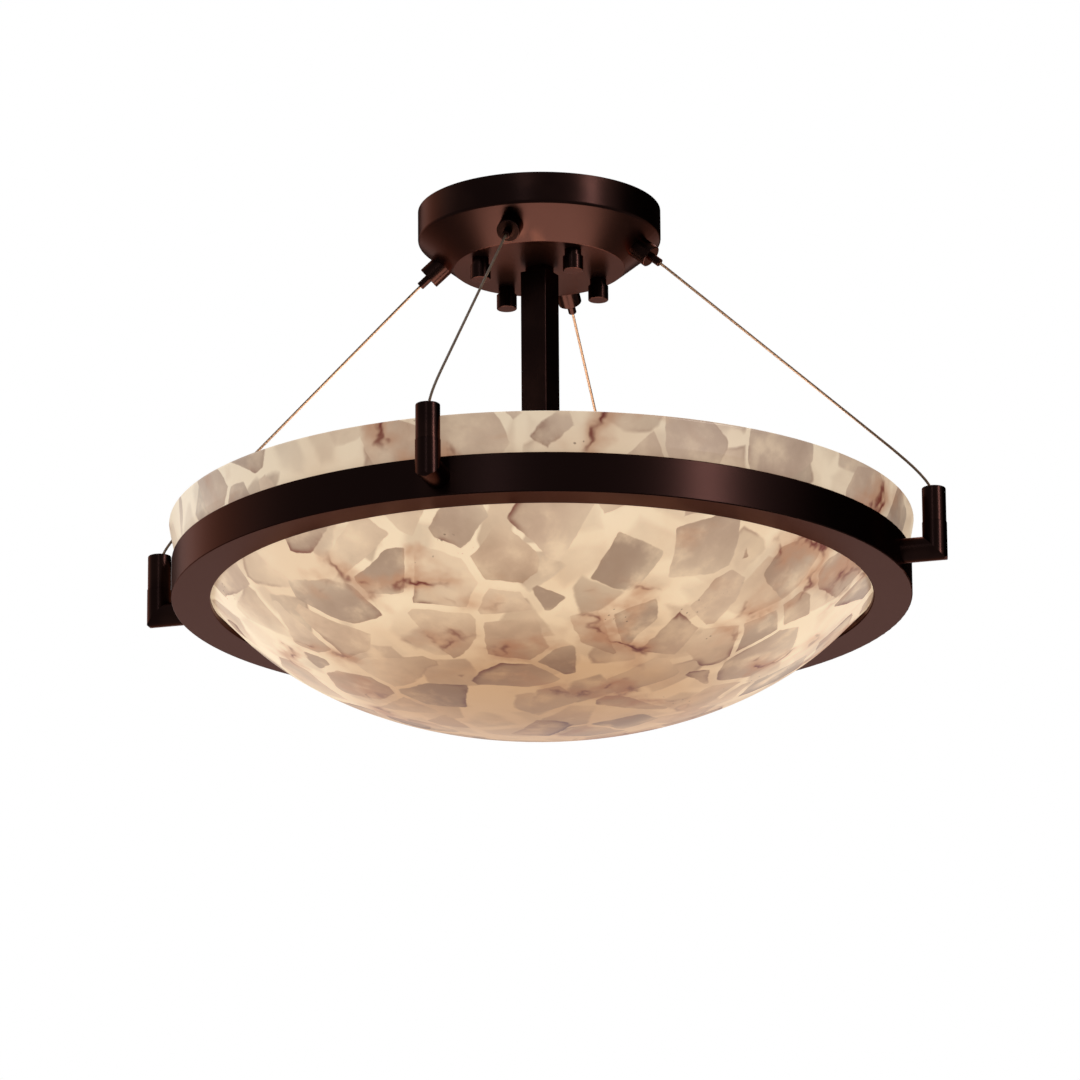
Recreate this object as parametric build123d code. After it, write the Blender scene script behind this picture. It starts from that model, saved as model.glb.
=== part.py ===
from build123d import *
import os
from math import atan2, cos, degrees, radians, sin, sqrt, tan

# Semi flush ceiling light: a round canopy, a square stem with three lamps, and a metal ring on four
# steel cables that carries a translucent bowl. Millimetres, +Z up. The origin is the centre of the
# canopy's ceiling face, so the whole light lies below Z = 0. The four posts lie along X and Y.

# --- canopy ---------------------------------------------------------------------------------------
CANOPY_RADIUS = 76.0
CANOPY_SKIRT = 19.3  # height of the upright wall
CANOPY_CONE = 18.3  # height of the cone below it
CANOPY_FLAT_RADIUS = 53.4
CANOPY_WALL = 1.5
CANOPY_CREASE = 2.5  # rounding between wall and cone

# --- ceiling side ---------------------------------------------------------------------------------
PLATE_RADIUS = 59.0
PLATE_THICKNESS = 2.0
BOX_SCREW_SPACING = 88.9
BOX_SLOT_WIDTH = 4.8
BOX_SLOT_LENGTH = 14.0
WIRE_HOLE_RADIUS = 11.0
GROUND_SCREW_OFFSET = 40.0
STUD_CIRCLE = 42.2  # radius of the circle that the studs and knobs lie on
STUD_RADIUS = 2.4
STUD_ENGAGED = 8.6  # how far a stud reaches into its knob
KNOB_RADIUS = 6.35
KNOB_HEIGHT = 13.6
KNOB_NECK_RADIUS = 5.2
KNOB_NECK_HEIGHT = 4.4
KNOB_BORE_DEPTH = 9.6
NUT_HEIGHT = 3.6
STUD_NUT_FLATS = 8.0

# --- cable grippers -------------------------------------------------------------------------------
GRIPPER_SEAT_SHARE = 0.456  # of the cone's width, outward from its lower edge
GRIPPER_DIP = 40.1  # degrees below the horizontal
BARREL_RADIUS = 7.3
BARREL_REACH = 11.3  # from the cone to the barrel's face, along the axis
SHANK_RADIUS = 4.8
SHANK_LENGTH = 10.5
GRIPPER_NUT_FLATS = 14.0
GRIPPER_NUT_HEIGHT = 3.5
SADDLE_RADIUS = 8.0
SADDLE_THICKNESS = 4.2
CAVITY_RADIUS = 4.2
CAVITY_FLOOR = 0.3
BUSH_LENGTH = 2.5
NOZZLE_RADIUS = 2.55
NOZZLE_REACH = 7.35  # the part that shows
COLLAR_RADIUS = 4.0
COLLAR_LENGTH = 1.5
NOSE_LENGTH = 2.3
NOZZLE_TRAVEL = 2.5
SPRING_WIRE = 0.5
SPRING_TURNS = 3.5

# --- ring and posts -------------------------------------------------------------------------------
CEILING_TO_RING = 254.0  # down to the ring's underside
RING_RADIUS = 228.6
RING_HEIGHT = 24.4
RING_WALL = 2.8
FLANGE_THICKNESS = 3.2
POST_REACH = 20.1  # from the ring's outer wall to a post's axis
POST_RADIUS = 7.65
POST_CORNER = 2.5  # rounding of the elbow's heel
POST_TOP = 50.6  # above the ring's underside
CAP_HEIGHT = 22.0
CAP_RADIUS = 7.35
CAP_TOP_WALL = 5.6
CAP_BORE_RADIUS = 5.2
CAP_CAVITY_RADIUS = 3.6
CAP_EDGE = 0.8
SPIGOT_LENGTH = 8.0
COUNTERSINK_RADIUS = 3.0
COUNTERSINK_DEPTH = 2.5
CABLE_HOLE_RADIUS = 1.6
ARM_SCREW_RADIUS = 2.4
ARM_SCREW_HEAD_RADIUS = 4.5
ARM_SCREW_HEAD_HEIGHT = 2.6
ARM_SCREW_LENGTH = 12.0  # past the ring's outer face
ARM_SCREW_SLOT = 1.0

# --- cables: tail and straight run from the gripper, then the bend down into the post -------------
CABLE_RADIUS = 0.9
CABLE_BORE_RADIUS = 1.2
CABLE_TAIL = 33.0
CABLE_KINK = 1.2  # the small bend just outside the nozzle
STOP_RADIUS = 2.6
STOP_LENGTH = 6.0
CABLE_BENDS = ((-22.7, 25.0), (-9.2, 11.4), (0.0, -1.4))  # from the post's axis and from its top

# --- bowl -----------------------------------------------------------------------------------------
BOWL_DEPTH = 77.4  # below the ring's underside
BOWL_CENTRE_RISE = 66.0  # centre of the oval base, above the ring's underside
BOWL_WALL = 6.0
BOWL_FLARE = 45.0  # degrees, the straight flank above the oval base
BOWL_SHOULDER_RISE = 0.6  # above the ring's top edge
BOWL_SHOULDER_ROUND = 20.0
BOWL_BAND_HEIGHT = 24.6  # from the shoulder to the rim
BOWL_BAND_LEAN = 10.8  # degrees outward
BOWL_RIM_ROUND = 1.5
BOWL_CLEARANCE = 0.4
PAD_COUNT = 8
PAD_WIDTH = 10.0  # along the ring
PAD_DEPTH = 7.0

# --- stem and lamps -------------------------------------------------------------------------------
STEM_SIDE = 17.8
STEM_WALL = 1.6
STEM_EDGE = 0.8
STEM_TURN = -13.7  # degrees that the square is turned from the arms
STEM_COLLAR_HEIGHT = 3.0  # the round neck between stem and canopy
PLUG_LENGTH = 12.0
NIPPLE_RADIUS = 4.8
NIPPLE_BORE_RADIUS = 3.0
NIPPLE_ENGAGED = 10.0
LOCK_NUT_FLATS = 17.0
HUB_TOP = 68.0  # above the ring's underside
HUB_RADIUS = 33.0
HUB_HEIGHT = 30.0
HUB_WALL = 2.0
HUB_COVER_THICKNESS = 2.0
HUB_NUT_RADIUS = 7.0
HUB_NUT_HEIGHT = 9.0
BOSS_RADIUS = 11.0
LAMP_COUNT = 3
LAMP_FIRST_AZIMUTH = 90.0
LAMP_DIP = 15.0
LAMP_AXIS_DROP = 8.0  # below the hub's top, at its centre
LAMP_SEAT = 40.0  # along the lamp's axis, from the stem's axis to the lampholder's back
HOLDER_RADIUS = 18.0
HOLDER_LENGTH = 44.0
HOLDER_FLOOR = 12.0
HOLDER_BACK_ROUND = 2.5
HOLDER_NECK_RADIUS = 7.0
HOLDER_NECK_LENGTH = 9.0
SHELL_WALL = 0.5
CONTACT_RADIUS = 4.0
CONTACT_HEIGHT = 1.0
CAP_SCREW_RADIUS = 13.0
CAP_SCREW_LENGTH = 26.0
CAP_SCREW_WALL = 0.8
TIP_RADIUS = 4.5
TIP_HEIGHT = 2.2
BULB_RADIUS = 30.0
BULB_LENGTH = 82.0  # of the glass, past its screw cap
GLASS_WALL = 1.0
WIRE_RADIUS = 1.0
WIRE_OFFSET = 1.5
WIRE_BEND_DEPTH = 16.3  # below the ceiling
WIRE_REACH = 21.5
WIRE_RISE = 3.0
WIRE_NUT_RADIUS = 5.0
WIRE_NUT_TIP_RADIUS = 3.0
WIRE_NUT_LENGTH = 15.0
WIRE_NUT_ENGAGED = 5.0

# --- fits -----------------------------------------------------------------------------------------
RUNNING_CLEARANCE = 0.1
BULB_CLEARANCE = 0.4
SEAM = 0.2
SOFT_EDGE = 0.6  # rounding of turned and rolled edges
PAST = 1.0  # how far a cutting tool runs past the face that it cuts

# --- what follows from them -----------------------------------------------------------------------
ARM_COUNT = 4
CANOPY_HEIGHT = CANOPY_SKIRT + CANOPY_CONE
CONE_ANGLE = degrees(atan2(CANOPY_CONE, CANOPY_RADIUS - CANOPY_FLAT_RADIUS))
RING_UNDERSIDE = -CEILING_TO_RING
RING_INNER = RING_RADIUS - RING_WALL
ARM_LEVEL = RING_UNDERSIDE + RING_HEIGHT / 2
POST_CIRCLE = RING_RADIUS + POST_REACH
POST_TOP_LEVEL = RING_UNDERSIDE + POST_TOP
SEAM_LEVEL = POST_TOP_LEVEL - CAP_HEIGHT
HUB_TOP_LEVEL = RING_UNDERSIDE + HUB_TOP
STEM_TOP_LEVEL = -CANOPY_HEIGHT - STEM_COLLAR_HEIGHT
GRIPPER_SEAT = CANOPY_FLAT_RADIUS + GRIPPER_SEAT_SHARE * (CANOPY_RADIUS - CANOPY_FLAT_RADIUS)
GRIPPER_SEAT_LEVEL = -CANOPY_HEIGHT + (GRIPPER_SEAT - CANOPY_FLAT_RADIUS) * tan(radians(CONE_ANGLE))
NOZZLE_TIP = BARREL_REACH + NOZZLE_REACH
SHOULDER = (RING_INNER, RING_UNDERSIDE + RING_HEIGHT + BOWL_SHOULDER_RISE)
CAP_SCREW_START = LAMP_SEAT + HOLDER_FLOOR + CONTACT_HEIGHT + BULB_CLEARANCE + TIP_HEIGHT
UPWARD = (Align.CENTER, Align.CENTER, Align.MIN)
DOWNWARD = (Align.CENTER, Align.CENTER, Align.MAX)


# --- building blocks ------------------------------------------------------------------------------
def rod(radius, bottom, top):
    """A cylinder on the Z axis between two heights."""
    return Pos(0, 0, bottom) * Cylinder(radius, top - bottom, align=UPWARD)


def tube(outer, inner, bottom, top):
    """A cylinder with a bore right through it."""
    return rod(outer, bottom, top) - rod(inner, bottom - PAST, top + PAST)


def hex_nut(flats, bore, bottom, top):
    """A hexagon nut on the Z axis."""
    blank = extrude(RegularPolygon(flats / 2, 6, major_radius=False), top - bottom)
    return Pos(0, 0, bottom) * blank - rod(bore, bottom - PAST, top + PAST)


def spun(*points):
    """The solid of revolution about Z of a closed outline of (radius, height) points."""
    return revolve(Plane.XZ * make_face(Polyline(*points, close=True)), Axis.Z)


def rounded(face, corners):
    """The face with each named corner, (point, radius), rounded."""
    for point, radius in corners:
        corner = face.vertices().sort_by_distance((point[0], point[1], 0))[0]
        face = fillet(corner, radius)
    return face


def around(shape, azimuth):
    """The shape turned about the light's own axis."""
    return Rot(0, 0, azimuth) * shape


def arm_azimuth(number):
    return 360 / ARM_COUNT * number


def knob_azimuth(number):
    return arm_azimuth(number + 0.5)


def lamp_azimuth(number):
    return LAMP_FIRST_AZIMUTH + 360 / LAMP_COUNT * number


def group(shapes):
    """Several separate solids kept as one node."""
    return Compound(children=[solid for shape in shapes for solid in shape.solids()])


def on_gripper(shape):
    """From a gripper's own frame, +Z out along its axis from the cone, to the arm along +X."""
    dip = radians(GRIPPER_DIP)
    frame = Plane((GRIPPER_SEAT, 0, GRIPPER_SEAT_LEVEL), x_dir=(0, 1, 0), z_dir=(cos(dip), 0, -sin(dip)))
    return frame.location * shape


def on_lamp(shape):
    """From a lamp's own frame, +Z out along its axis from the stem, to azimuth 0."""
    dip = radians(LAMP_DIP)
    frame = Plane((0, 0, HUB_TOP_LEVEL - LAMP_AXIS_DROP), x_dir=(0, 1, 0), z_dir=(cos(dip), 0, -sin(dip)))
    return frame.location * shape


def wire_along(points, radius, radii):
    """A round wire along straight runs joined by tangent arcs."""
    path = FilletPolyline(*points, radius=radii)
    start = Plane(points[0], z_dir=Vector(*points[1]) - Vector(*points[0]))
    return sweep(start * Circle(radius), path=path)


def bend_radii(points):
    """For each inner point, 0.45 of its shorter run over the tangent of half its turn."""
    radii = []
    for before, here, after in zip(points, points[1:], points[2:]):
        arriving = Vector(*here) - Vector(*before)
        leaving = Vector(*after) - Vector(*here)
        half_turn = radians(arriving.get_angle(leaving) / 2)
        radii.append(0.45 * min(arriving.length, leaving.length) / tan(half_turn))
    return radii


# --- canopy and ceiling side ----------------------------------------------------------------------
def canopy_outline(inset):
    """The canopy's outline moved inward by a wall, as (radius, height) points from the axis out."""
    lean = radians(CONE_ANGLE)
    flat = CANOPY_FLAT_RADIUS - inset * tan(lean / 2)
    crease = -CANOPY_SKIRT + inset * tan(radians(45) - lean / 2)
    return (flat, -CANOPY_HEIGHT + inset), (CANOPY_RADIUS - inset, crease), (CANOPY_RADIUS - inset, 0)


def canopy_block(inset):
    """The full body inside the canopy's outline."""
    edge, crease, top = canopy_outline(inset)
    return spun((0, edge[1]), edge, crease, top, (0, 0))


def canopy():
    """One thin shell with holes for the stem's nipple, the studs and the grippers."""
    edge, crease, top = canopy_outline(0)
    inner_edge, inner_crease, inner_top = canopy_outline(CANOPY_WALL)
    hole = NIPPLE_RADIUS + RUNNING_CLEARANCE
    outline = Polyline(
        (hole, edge[1]), edge, crease, top, inner_top, inner_crease, inner_edge,
        (hole, inner_edge[1]), close=True,
    )
    rounding = ((crease, CANOPY_CREASE), (inner_crease, CANOPY_CREASE - CANOPY_WALL), (edge, SOFT_EDGE))
    shell = revolve(Plane.XZ * rounded(make_face(outline), rounding), Axis.Z)
    stud_hole = Pos(STUD_CIRCLE, 0, 0) * rod(STUD_RADIUS + RUNNING_CLEARANCE, -CANOPY_HEIGHT - PAST, 0)
    shank_hole = on_gripper(rod(SHANK_RADIUS + RUNNING_CLEARANCE, -SADDLE_THICKNESS, SADDLE_THICKNESS))
    for number in range(ARM_COUNT):
        shell -= around(stud_hole, knob_azimuth(number))
        shell -= around(shank_hole, arm_azimuth(number))
    return shell


def mounting_plate():
    """A flat disc with two slots for the ceiling box's screws, a wire hole and the studs' holes."""
    plate = tube(PLATE_RADIUS, WIRE_HOLE_RADIUS, -PLATE_THICKNESS, 0)
    slot = extrude(SlotOverall(BOX_SLOT_LENGTH, BOX_SLOT_WIDTH), PLATE_THICKNESS + 2 * PAST)
    for side in (-1, 1):
        plate -= Pos(side * BOX_SCREW_SPACING / 2, 0, -PLATE_THICKNESS - PAST) * slot
    hole = rod(STUD_RADIUS + RUNNING_CLEARANCE, -PLATE_THICKNESS - PAST, PAST)
    for number in range(ARM_COUNT):
        plate -= around(Pos(STUD_CIRCLE, 0, 0) * hole, knob_azimuth(number))
    return plate - Pos(0, -GROUND_SCREW_OFFSET, 0) * hole


def canopy_studs():
    """Studs from the plate down through the canopy into the knobs."""
    stud = Pos(STUD_CIRCLE, 0, 0) * rod(STUD_RADIUS, -CANOPY_HEIGHT - SEAM - STUD_ENGAGED, 0)
    return group(around(stud, knob_azimuth(number)) for number in range(ARM_COUNT))


def stud_nuts():
    """Nuts that clamp the studs to the plate's underside."""
    bottom = -PLATE_THICKNESS - NUT_HEIGHT
    nut = hex_nut(STUD_NUT_FLATS, STUD_RADIUS + RUNNING_CLEARANCE, bottom, -PLATE_THICKNESS)
    nut = Pos(STUD_CIRCLE, 0, 0) * nut
    return group(around(nut, knob_azimuth(number)) for number in range(ARM_COUNT))


def ground_screw():
    """Hexagon headed screw with a shallow socket, its shank in the plate."""
    bottom = -PLATE_THICKNESS - NUT_HEIGHT
    head = hex_nut(STUD_NUT_FLATS, STUD_RADIUS / 2, bottom, -PLATE_THICKNESS)
    shank = rod(STUD_RADIUS, bottom + NUT_HEIGHT / 3, 0)
    return Pos(0, -GROUND_SCREW_OFFSET, 0) * (head + shank)


def knob():
    """A turned nut with a narrower neck, its blind bore running on a stud."""
    top = -CANOPY_HEIGHT - SEAM
    head = rod(KNOB_RADIUS, top - KNOB_HEIGHT, top - KNOB_NECK_HEIGHT)
    head = fillet(head.edges().group_by(Axis.Z)[0], SOFT_EDGE)
    body = head + rod(KNOB_NECK_RADIUS, top - KNOB_NECK_HEIGHT - PAST, top)
    return body - rod(STUD_RADIUS + RUNNING_CLEARANCE, top - KNOB_BORE_DEPTH, top + PAST)


# --- cable grippers, each in its own frame --------------------------------------------------------
def gripper_body():
    """Barrel outside the cone, shank through it, and the cavity that the nozzle slides in."""
    barrel = rod(BARREL_RADIUS, -BARREL_RADIUS, BARREL_REACH)
    barrel = fillet(barrel.edges().group_by(Axis.Z)[-1], SOFT_EDGE)
    body = on_gripper(barrel) - canopy_block(0)
    body += on_gripper(rod(SHANK_RADIUS, -SHANK_LENGTH, BARREL_REACH / 2))
    body -= on_gripper(rod(CAVITY_RADIUS, CAVITY_FLOOR, BARREL_REACH + PAST))
    return body - on_gripper(rod(CABLE_BORE_RADIUS, -SHANK_LENGTH - PAST, BARREL_REACH))


def gripper_bush():
    """The ring that closes the barrel's mouth round the nozzle."""
    bore = NOZZLE_RADIUS + RUNNING_CLEARANCE
    return on_gripper(tube(CAVITY_RADIUS, bore, BARREL_REACH - BUSH_LENGTH, BARREL_REACH))


def gripper_plunger():
    """Nozzle, stop collar and nose in one piece, with the cable's bore."""
    collar_top = BARREL_REACH - BUSH_LENGTH - SEAM
    collar_bottom = collar_top - COLLAR_LENGTH
    nozzle = rod(NOZZLE_RADIUS, collar_bottom - NOSE_LENGTH, NOZZLE_TIP)
    nozzle = fillet(nozzle.edges().group_by(Axis.Z)[-1], SOFT_EDGE)
    collar = rod(COLLAR_RADIUS, collar_bottom, collar_top)
    bore = rod(CABLE_BORE_RADIUS, 0, NOZZLE_TIP + PAST)
    return on_gripper(nozzle + collar - bore)


def gripper_spring():
    """The return spring, as short as when the nozzle is fully in."""
    radius = (CAVITY_RADIUS + NOZZLE_RADIUS) / 2
    floor = CAVITY_FLOOR + SPRING_WIRE / 2
    collar_pressed = BARREL_REACH - BUSH_LENGTH - SEAM - COLLAR_LENGTH - NOZZLE_TRAVEL
    height = collar_pressed - SEAM - SPRING_WIRE / 2 - floor
    path = Helix(pitch=height / SPRING_TURNS, height=height, radius=radius)
    wire = sweep(Plane(path @ 0, z_dir=path % 0) * Circle(SPRING_WIRE / 2), path=path, is_frenet=True)
    return on_gripper(Pos(0, 0, floor) * wire)


def gripper_saddle():
    """The wedge washer between the cone's inner face and the nut."""
    bore = SHANK_RADIUS + RUNNING_CLEARANCE
    blank = tube(SADDLE_RADIUS, bore, -SADDLE_THICKNESS, SADDLE_THICKNESS)
    return on_gripper(blank) & canopy_block(CANOPY_WALL)


def gripper_nut():
    """The nut that pulls the gripper tight against the cone."""
    bottom = -SADDLE_THICKNESS - GRIPPER_NUT_HEIGHT
    bore = SHANK_RADIUS + RUNNING_CLEARANCE
    return on_gripper(hex_nut(GRIPPER_NUT_FLATS, bore, bottom, -SADDLE_THICKNESS))


# --- cables ---------------------------------------------------------------------------------------
def cable_route():
    """The cable's points for the arm along +X: tail, kink, bends, and the stop inside the post."""
    dip = radians(GRIPPER_DIP)

    def along(distance):
        return GRIPPER_SEAT + distance * cos(dip), 0, GRIPPER_SEAT_LEVEL - distance * sin(dip)

    bends = [(POST_CIRCLE + across, 0, POST_TOP_LEVEL + up) for across, up in CABLE_BENDS]
    stop = (POST_CIRCLE, 0, POST_TOP_LEVEL - CAP_TOP_WALL - STOP_LENGTH)
    return [along(NOZZLE_TIP - CABLE_TAIL), along(NOZZLE_TIP + CABLE_KINK), *bends, stop]


def cable():
    points = cable_route()
    radii = bend_radii(points)
    print("cable bend radii, mm:", [round(radius, 1) for radius in radii])
    return wire_along(points, CABLE_RADIUS, radii)


def cable_stop():
    """The crimped end, just under the post cap's top wall."""
    top = POST_TOP_LEVEL - CAP_TOP_WALL - SEAM
    stop = tube(STOP_RADIUS, CABLE_RADIUS + RUNNING_CLEARANCE / 2, top - STOP_LENGTH, top)
    return Pos(POST_CIRCLE, 0, 0) * stop


# --- ring and posts -------------------------------------------------------------------------------
def on_arm(shape):
    """From the Z axis to the axis of the post's arm along +X."""
    return Pos(0, 0, ARM_LEVEL) * Rot(0, 90, 0) * shape


def flank_radius(height):
    """The outer radius of the bowl's straight flank at a height."""
    return SHOULDER[0] - (SHOULDER[1] - height) / tan(radians(BOWL_FLARE))


def ring():
    """Upright wall outside, flat flange underneath, its inner edge just clear of the bowl."""
    flange_top = RING_UNDERSIDE + FLANGE_THICKNESS
    inner = flank_radius(flange_top) + BOWL_CLEARANCE / sin(radians(BOWL_FLARE))
    top = RING_UNDERSIDE + RING_HEIGHT
    corners = (
        (inner, RING_UNDERSIDE), (RING_RADIUS, RING_UNDERSIDE), (RING_RADIUS, top),
        (RING_INNER, top), (RING_INNER, flange_top), (inner, flange_top),
    )
    rounding = [(corner, SOFT_EDGE) for corner in corners[:4]]
    body = revolve(Plane.XZ * rounded(make_face(Polyline(*corners, close=True)), rounding), Axis.Z)
    hole = on_arm(rod(ARM_SCREW_RADIUS + RUNNING_CLEARANCE, RING_INNER - PAST, RING_RADIUS + PAST))
    for number in range(ARM_COUNT):
        body -= around(hole, arm_azimuth(number))
    return body


def post():
    """Mitred elbow: a horizontal arm from the ring's wall and an upright with a spigot for the cap."""
    mitre = Plane((POST_CIRCLE, 0, ARM_LEVEL), x_dir=(0, 1, 0), z_dir=(1, 0, 1))
    level = on_arm(rod(POST_RADIUS, RING_INNER, POST_CIRCLE + 2 * POST_RADIUS))
    upright = rod(POST_RADIUS, ARM_LEVEL - 2 * POST_RADIUS, SEAM_LEVEL - SEAM)
    spigot = rod(CAP_BORE_RADIUS - RUNNING_CLEARANCE, ARM_LEVEL, SEAM_LEVEL + SPIGOT_LENGTH)
    body = split(level, mitre, Keep.BOTTOM) + split(Pos(POST_CIRCLE, 0, 0) * upright, mitre, Keep.TOP)
    heel = (POST_CIRCLE + POST_RADIUS, ARM_LEVEL - POST_RADIUS)
    side_view = Polyline((0, heel[1]), heel, (heel[0], SEAM_LEVEL), (0, SEAM_LEVEL), close=True)
    side_view = Plane.XZ * rounded(make_face(side_view), ((heel, POST_CORNER),))
    body &= extrude(side_view, 2 * POST_RADIUS, both=True)
    body -= rod(RING_RADIUS, ARM_LEVEL - 2 * POST_RADIUS, ARM_LEVEL + 2 * POST_RADIUS)
    body -= on_arm(rod(ARM_SCREW_RADIUS + RUNNING_CLEARANCE / 2, 0, RING_RADIUS + ARM_SCREW_LENGTH))
    return body + Pos(POST_CIRCLE, 0, 0) * spigot


def post_cap():
    """The upper half of the upright: screwed on the spigot, with the cable's stop inside."""
    body = rod(CAP_RADIUS, SEAM_LEVEL, POST_TOP_LEVEL)
    body = fillet(body.edges().group_by(Axis.Z)[-1], CAP_EDGE)
    body -= rod(CAP_BORE_RADIUS, SEAM_LEVEL - PAST, SEAM_LEVEL + SPIGOT_LENGTH + 2 * SEAM)
    body -= rod(CAP_CAVITY_RADIUS, SEAM_LEVEL, POST_TOP_LEVEL - CAP_TOP_WALL)
    body -= rod(CABLE_HOLE_RADIUS, SEAM_LEVEL, POST_TOP_LEVEL + PAST)
    sink = Cone(CABLE_HOLE_RADIUS, COUNTERSINK_RADIUS, COUNTERSINK_DEPTH, align=DOWNWARD)
    return Pos(POST_CIRCLE, 0, 0) * (body - Pos(0, 0, POST_TOP_LEVEL) * sink)


def arm_screw():
    """Round headed screw from inside the ring's wall into the arm."""
    seat = RING_INNER - SEAM
    shank = rod(ARM_SCREW_RADIUS, seat - SEAM, RING_RADIUS + ARM_SCREW_LENGTH - SEAM)
    head = rod(ARM_SCREW_HEAD_RADIUS, seat - ARM_SCREW_HEAD_HEIGHT, seat)
    head = fillet(head.edges().group_by(Axis.Z)[0], ARM_SCREW_HEAD_HEIGHT / 2)
    slot = Box(ARM_SCREW_SLOT, 2 * ARM_SCREW_HEAD_RADIUS, 2 * ARM_SCREW_SLOT)
    return on_arm(shank + head - Pos(0, 0, seat - ARM_SCREW_HEAD_HEIGHT) * slot)


# --- bowl -----------------------------------------------------------------------------------------
def bowl_line(inset):
    """One face of the bowl, from the pole up to the rim, moved inward by inset."""
    flare = radians(BOWL_FLARE)
    lean = radians(BOWL_BAND_LEAN)
    centre = RING_UNDERSIDE + BOWL_CENTRE_RISE
    depth = BOWL_CENTRE_RISE + BOWL_DEPTH - inset
    rim_height = SHOULDER[1] + BOWL_BAND_HEIGHT
    corner = inset * tan((radians(90) - flare - lean) / 2)
    shoulder = (
        SHOULDER[0] - inset * sin(flare) - corner * cos(flare),
        SHOULDER[1] + inset * cos(flare) - corner * sin(flare),
    )
    rim = (shoulder[0] + (rim_height - shoulder[1]) * tan(lean), rim_height)
    reach = shoulder[0] * sin(flare) - (shoulder[1] - centre) * cos(flare)
    width = sqrt(reach**2 - (depth * cos(flare)) ** 2) / sin(flare)
    turn = degrees(atan2(width * sin(flare), depth * cos(flare)))
    base = EllipticalCenterArc((0, centre), width, depth, start_angle=270, arc_size=turn)
    flank = FilletPolyline(base @ 1, shoulder, rim, radius=BOWL_SHOULDER_ROUND - inset)
    return base, flank, rim


def bowl():
    """A turned shell: oval base, straight flank, rounded shoulder and a nearly upright band."""
    outer_base, outer_flank, outer_rim = bowl_line(0)
    inner_base, inner_flank, inner_rim = bowl_line(BOWL_WALL)
    outline = outer_base + outer_flank + Line(outer_rim, inner_rim) + inner_flank + inner_base
    section = make_face(outline + Line(inner_base @ 0, outer_base @ 0))
    rims = ((outer_rim, BOWL_RIM_ROUND), (inner_rim, BOWL_RIM_ROUND))
    return revolve(Plane.XZ * rounded(section, rims), Axis.Z)


def bowl_pad():
    """A soft wedge on the flange, its slanted face along the bowl's flank."""
    low = RING_UNDERSIDE + FLANGE_THICKNESS
    inner = flank_radius(low) + BOWL_CLEARANCE / sin(radians(BOWL_FLARE))
    outer = inner + PAD_DEPTH
    top = low + PAD_DEPTH * tan(radians(BOWL_FLARE))
    wedge = Plane.XZ * make_face(Polyline((inner, low), (outer, low), (outer, top), close=True))
    arc = degrees(PAD_WIDTH / RING_RADIUS)
    return around(revolve(wedge, Axis.Z, arc), -arc / 2)


def bowl_pads():
    step = 360 / PAD_COUNT
    return group(around(bowl_pad(), step * (number + 0.5)) for number in range(PAD_COUNT))


# --- stem -----------------------------------------------------------------------------------------
def square_bar(side, edge, bottom, top):
    """A square bar on the Z axis, turned as the stem is."""
    bar = extrude(RectangleRounded(side, side, edge), top - bottom)
    return Pos(0, 0, bottom) * around(bar, STEM_TURN)


def stem():
    """A square tube from the collar under the canopy to the hub."""
    inside = STEM_SIDE - 2 * STEM_WALL
    bore = square_bar(inside, STEM_EDGE / 2, HUB_TOP_LEVEL - PAST, STEM_TOP_LEVEL + PAST)
    return square_bar(STEM_SIDE, STEM_EDGE, HUB_TOP_LEVEL, STEM_TOP_LEVEL) - bore


def stem_plug(bottom):
    """The threaded block inside one end of the stem."""
    side = STEM_SIDE - 2 * STEM_WALL - RUNNING_CLEARANCE
    block = square_bar(side, STEM_EDGE / 2, bottom, bottom + PLUG_LENGTH)
    return block - rod(NIPPLE_RADIUS + RUNNING_CLEARANCE / 2, bottom - PAST, bottom + PLUG_LENGTH + PAST)


def stem_plugs():
    """One plug at each end, the upper one with the round collar that spaces the stem off."""
    collar = tube(STEM_SIDE / 2, NIPPLE_RADIUS + RUNNING_CLEARANCE / 2, STEM_TOP_LEVEL, -CANOPY_HEIGHT)
    return group((stem_plug(STEM_TOP_LEVEL - PLUG_LENGTH) + collar, stem_plug(HUB_TOP_LEVEL)))


def stem_top_nipple():
    """A hollow threaded pin that stands half a nut's height above its lock nut."""
    top = -CANOPY_HEIGHT + CANOPY_WALL + 1.5 * NUT_HEIGHT
    return tube(NIPPLE_RADIUS, NIPPLE_BORE_RADIUS, STEM_TOP_LEVEL - NIPPLE_ENGAGED, top)


def stem_lock_nut():
    """The nut on the canopy's floor that carries the stem."""
    seat = -CANOPY_HEIGHT + CANOPY_WALL
    return hex_nut(LOCK_NUT_FLATS, NIPPLE_RADIUS + RUNNING_CLEARANCE / 2, seat, seat + NUT_HEIGHT)


def stem_bottom_nipple():
    """A hollow pin down through the hub, with a window for the lamps' leads."""
    bottom = HUB_TOP_LEVEL - HUB_HEIGHT - HUB_COVER_THICKNESS - HUB_NUT_HEIGHT / 2
    nipple = tube(NIPPLE_RADIUS, NIPPLE_BORE_RADIUS, bottom, HUB_TOP_LEVEL + NIPPLE_ENGAGED)
    window = Box(3 * NIPPLE_RADIUS, 2 * NIPPLE_BORE_RADIUS, HUB_HEIGHT / 2, align=UPWARD)
    return nipple - Pos(0, 0, HUB_TOP_LEVEL - HUB_HEIGHT + HUB_WALL) * window


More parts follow.
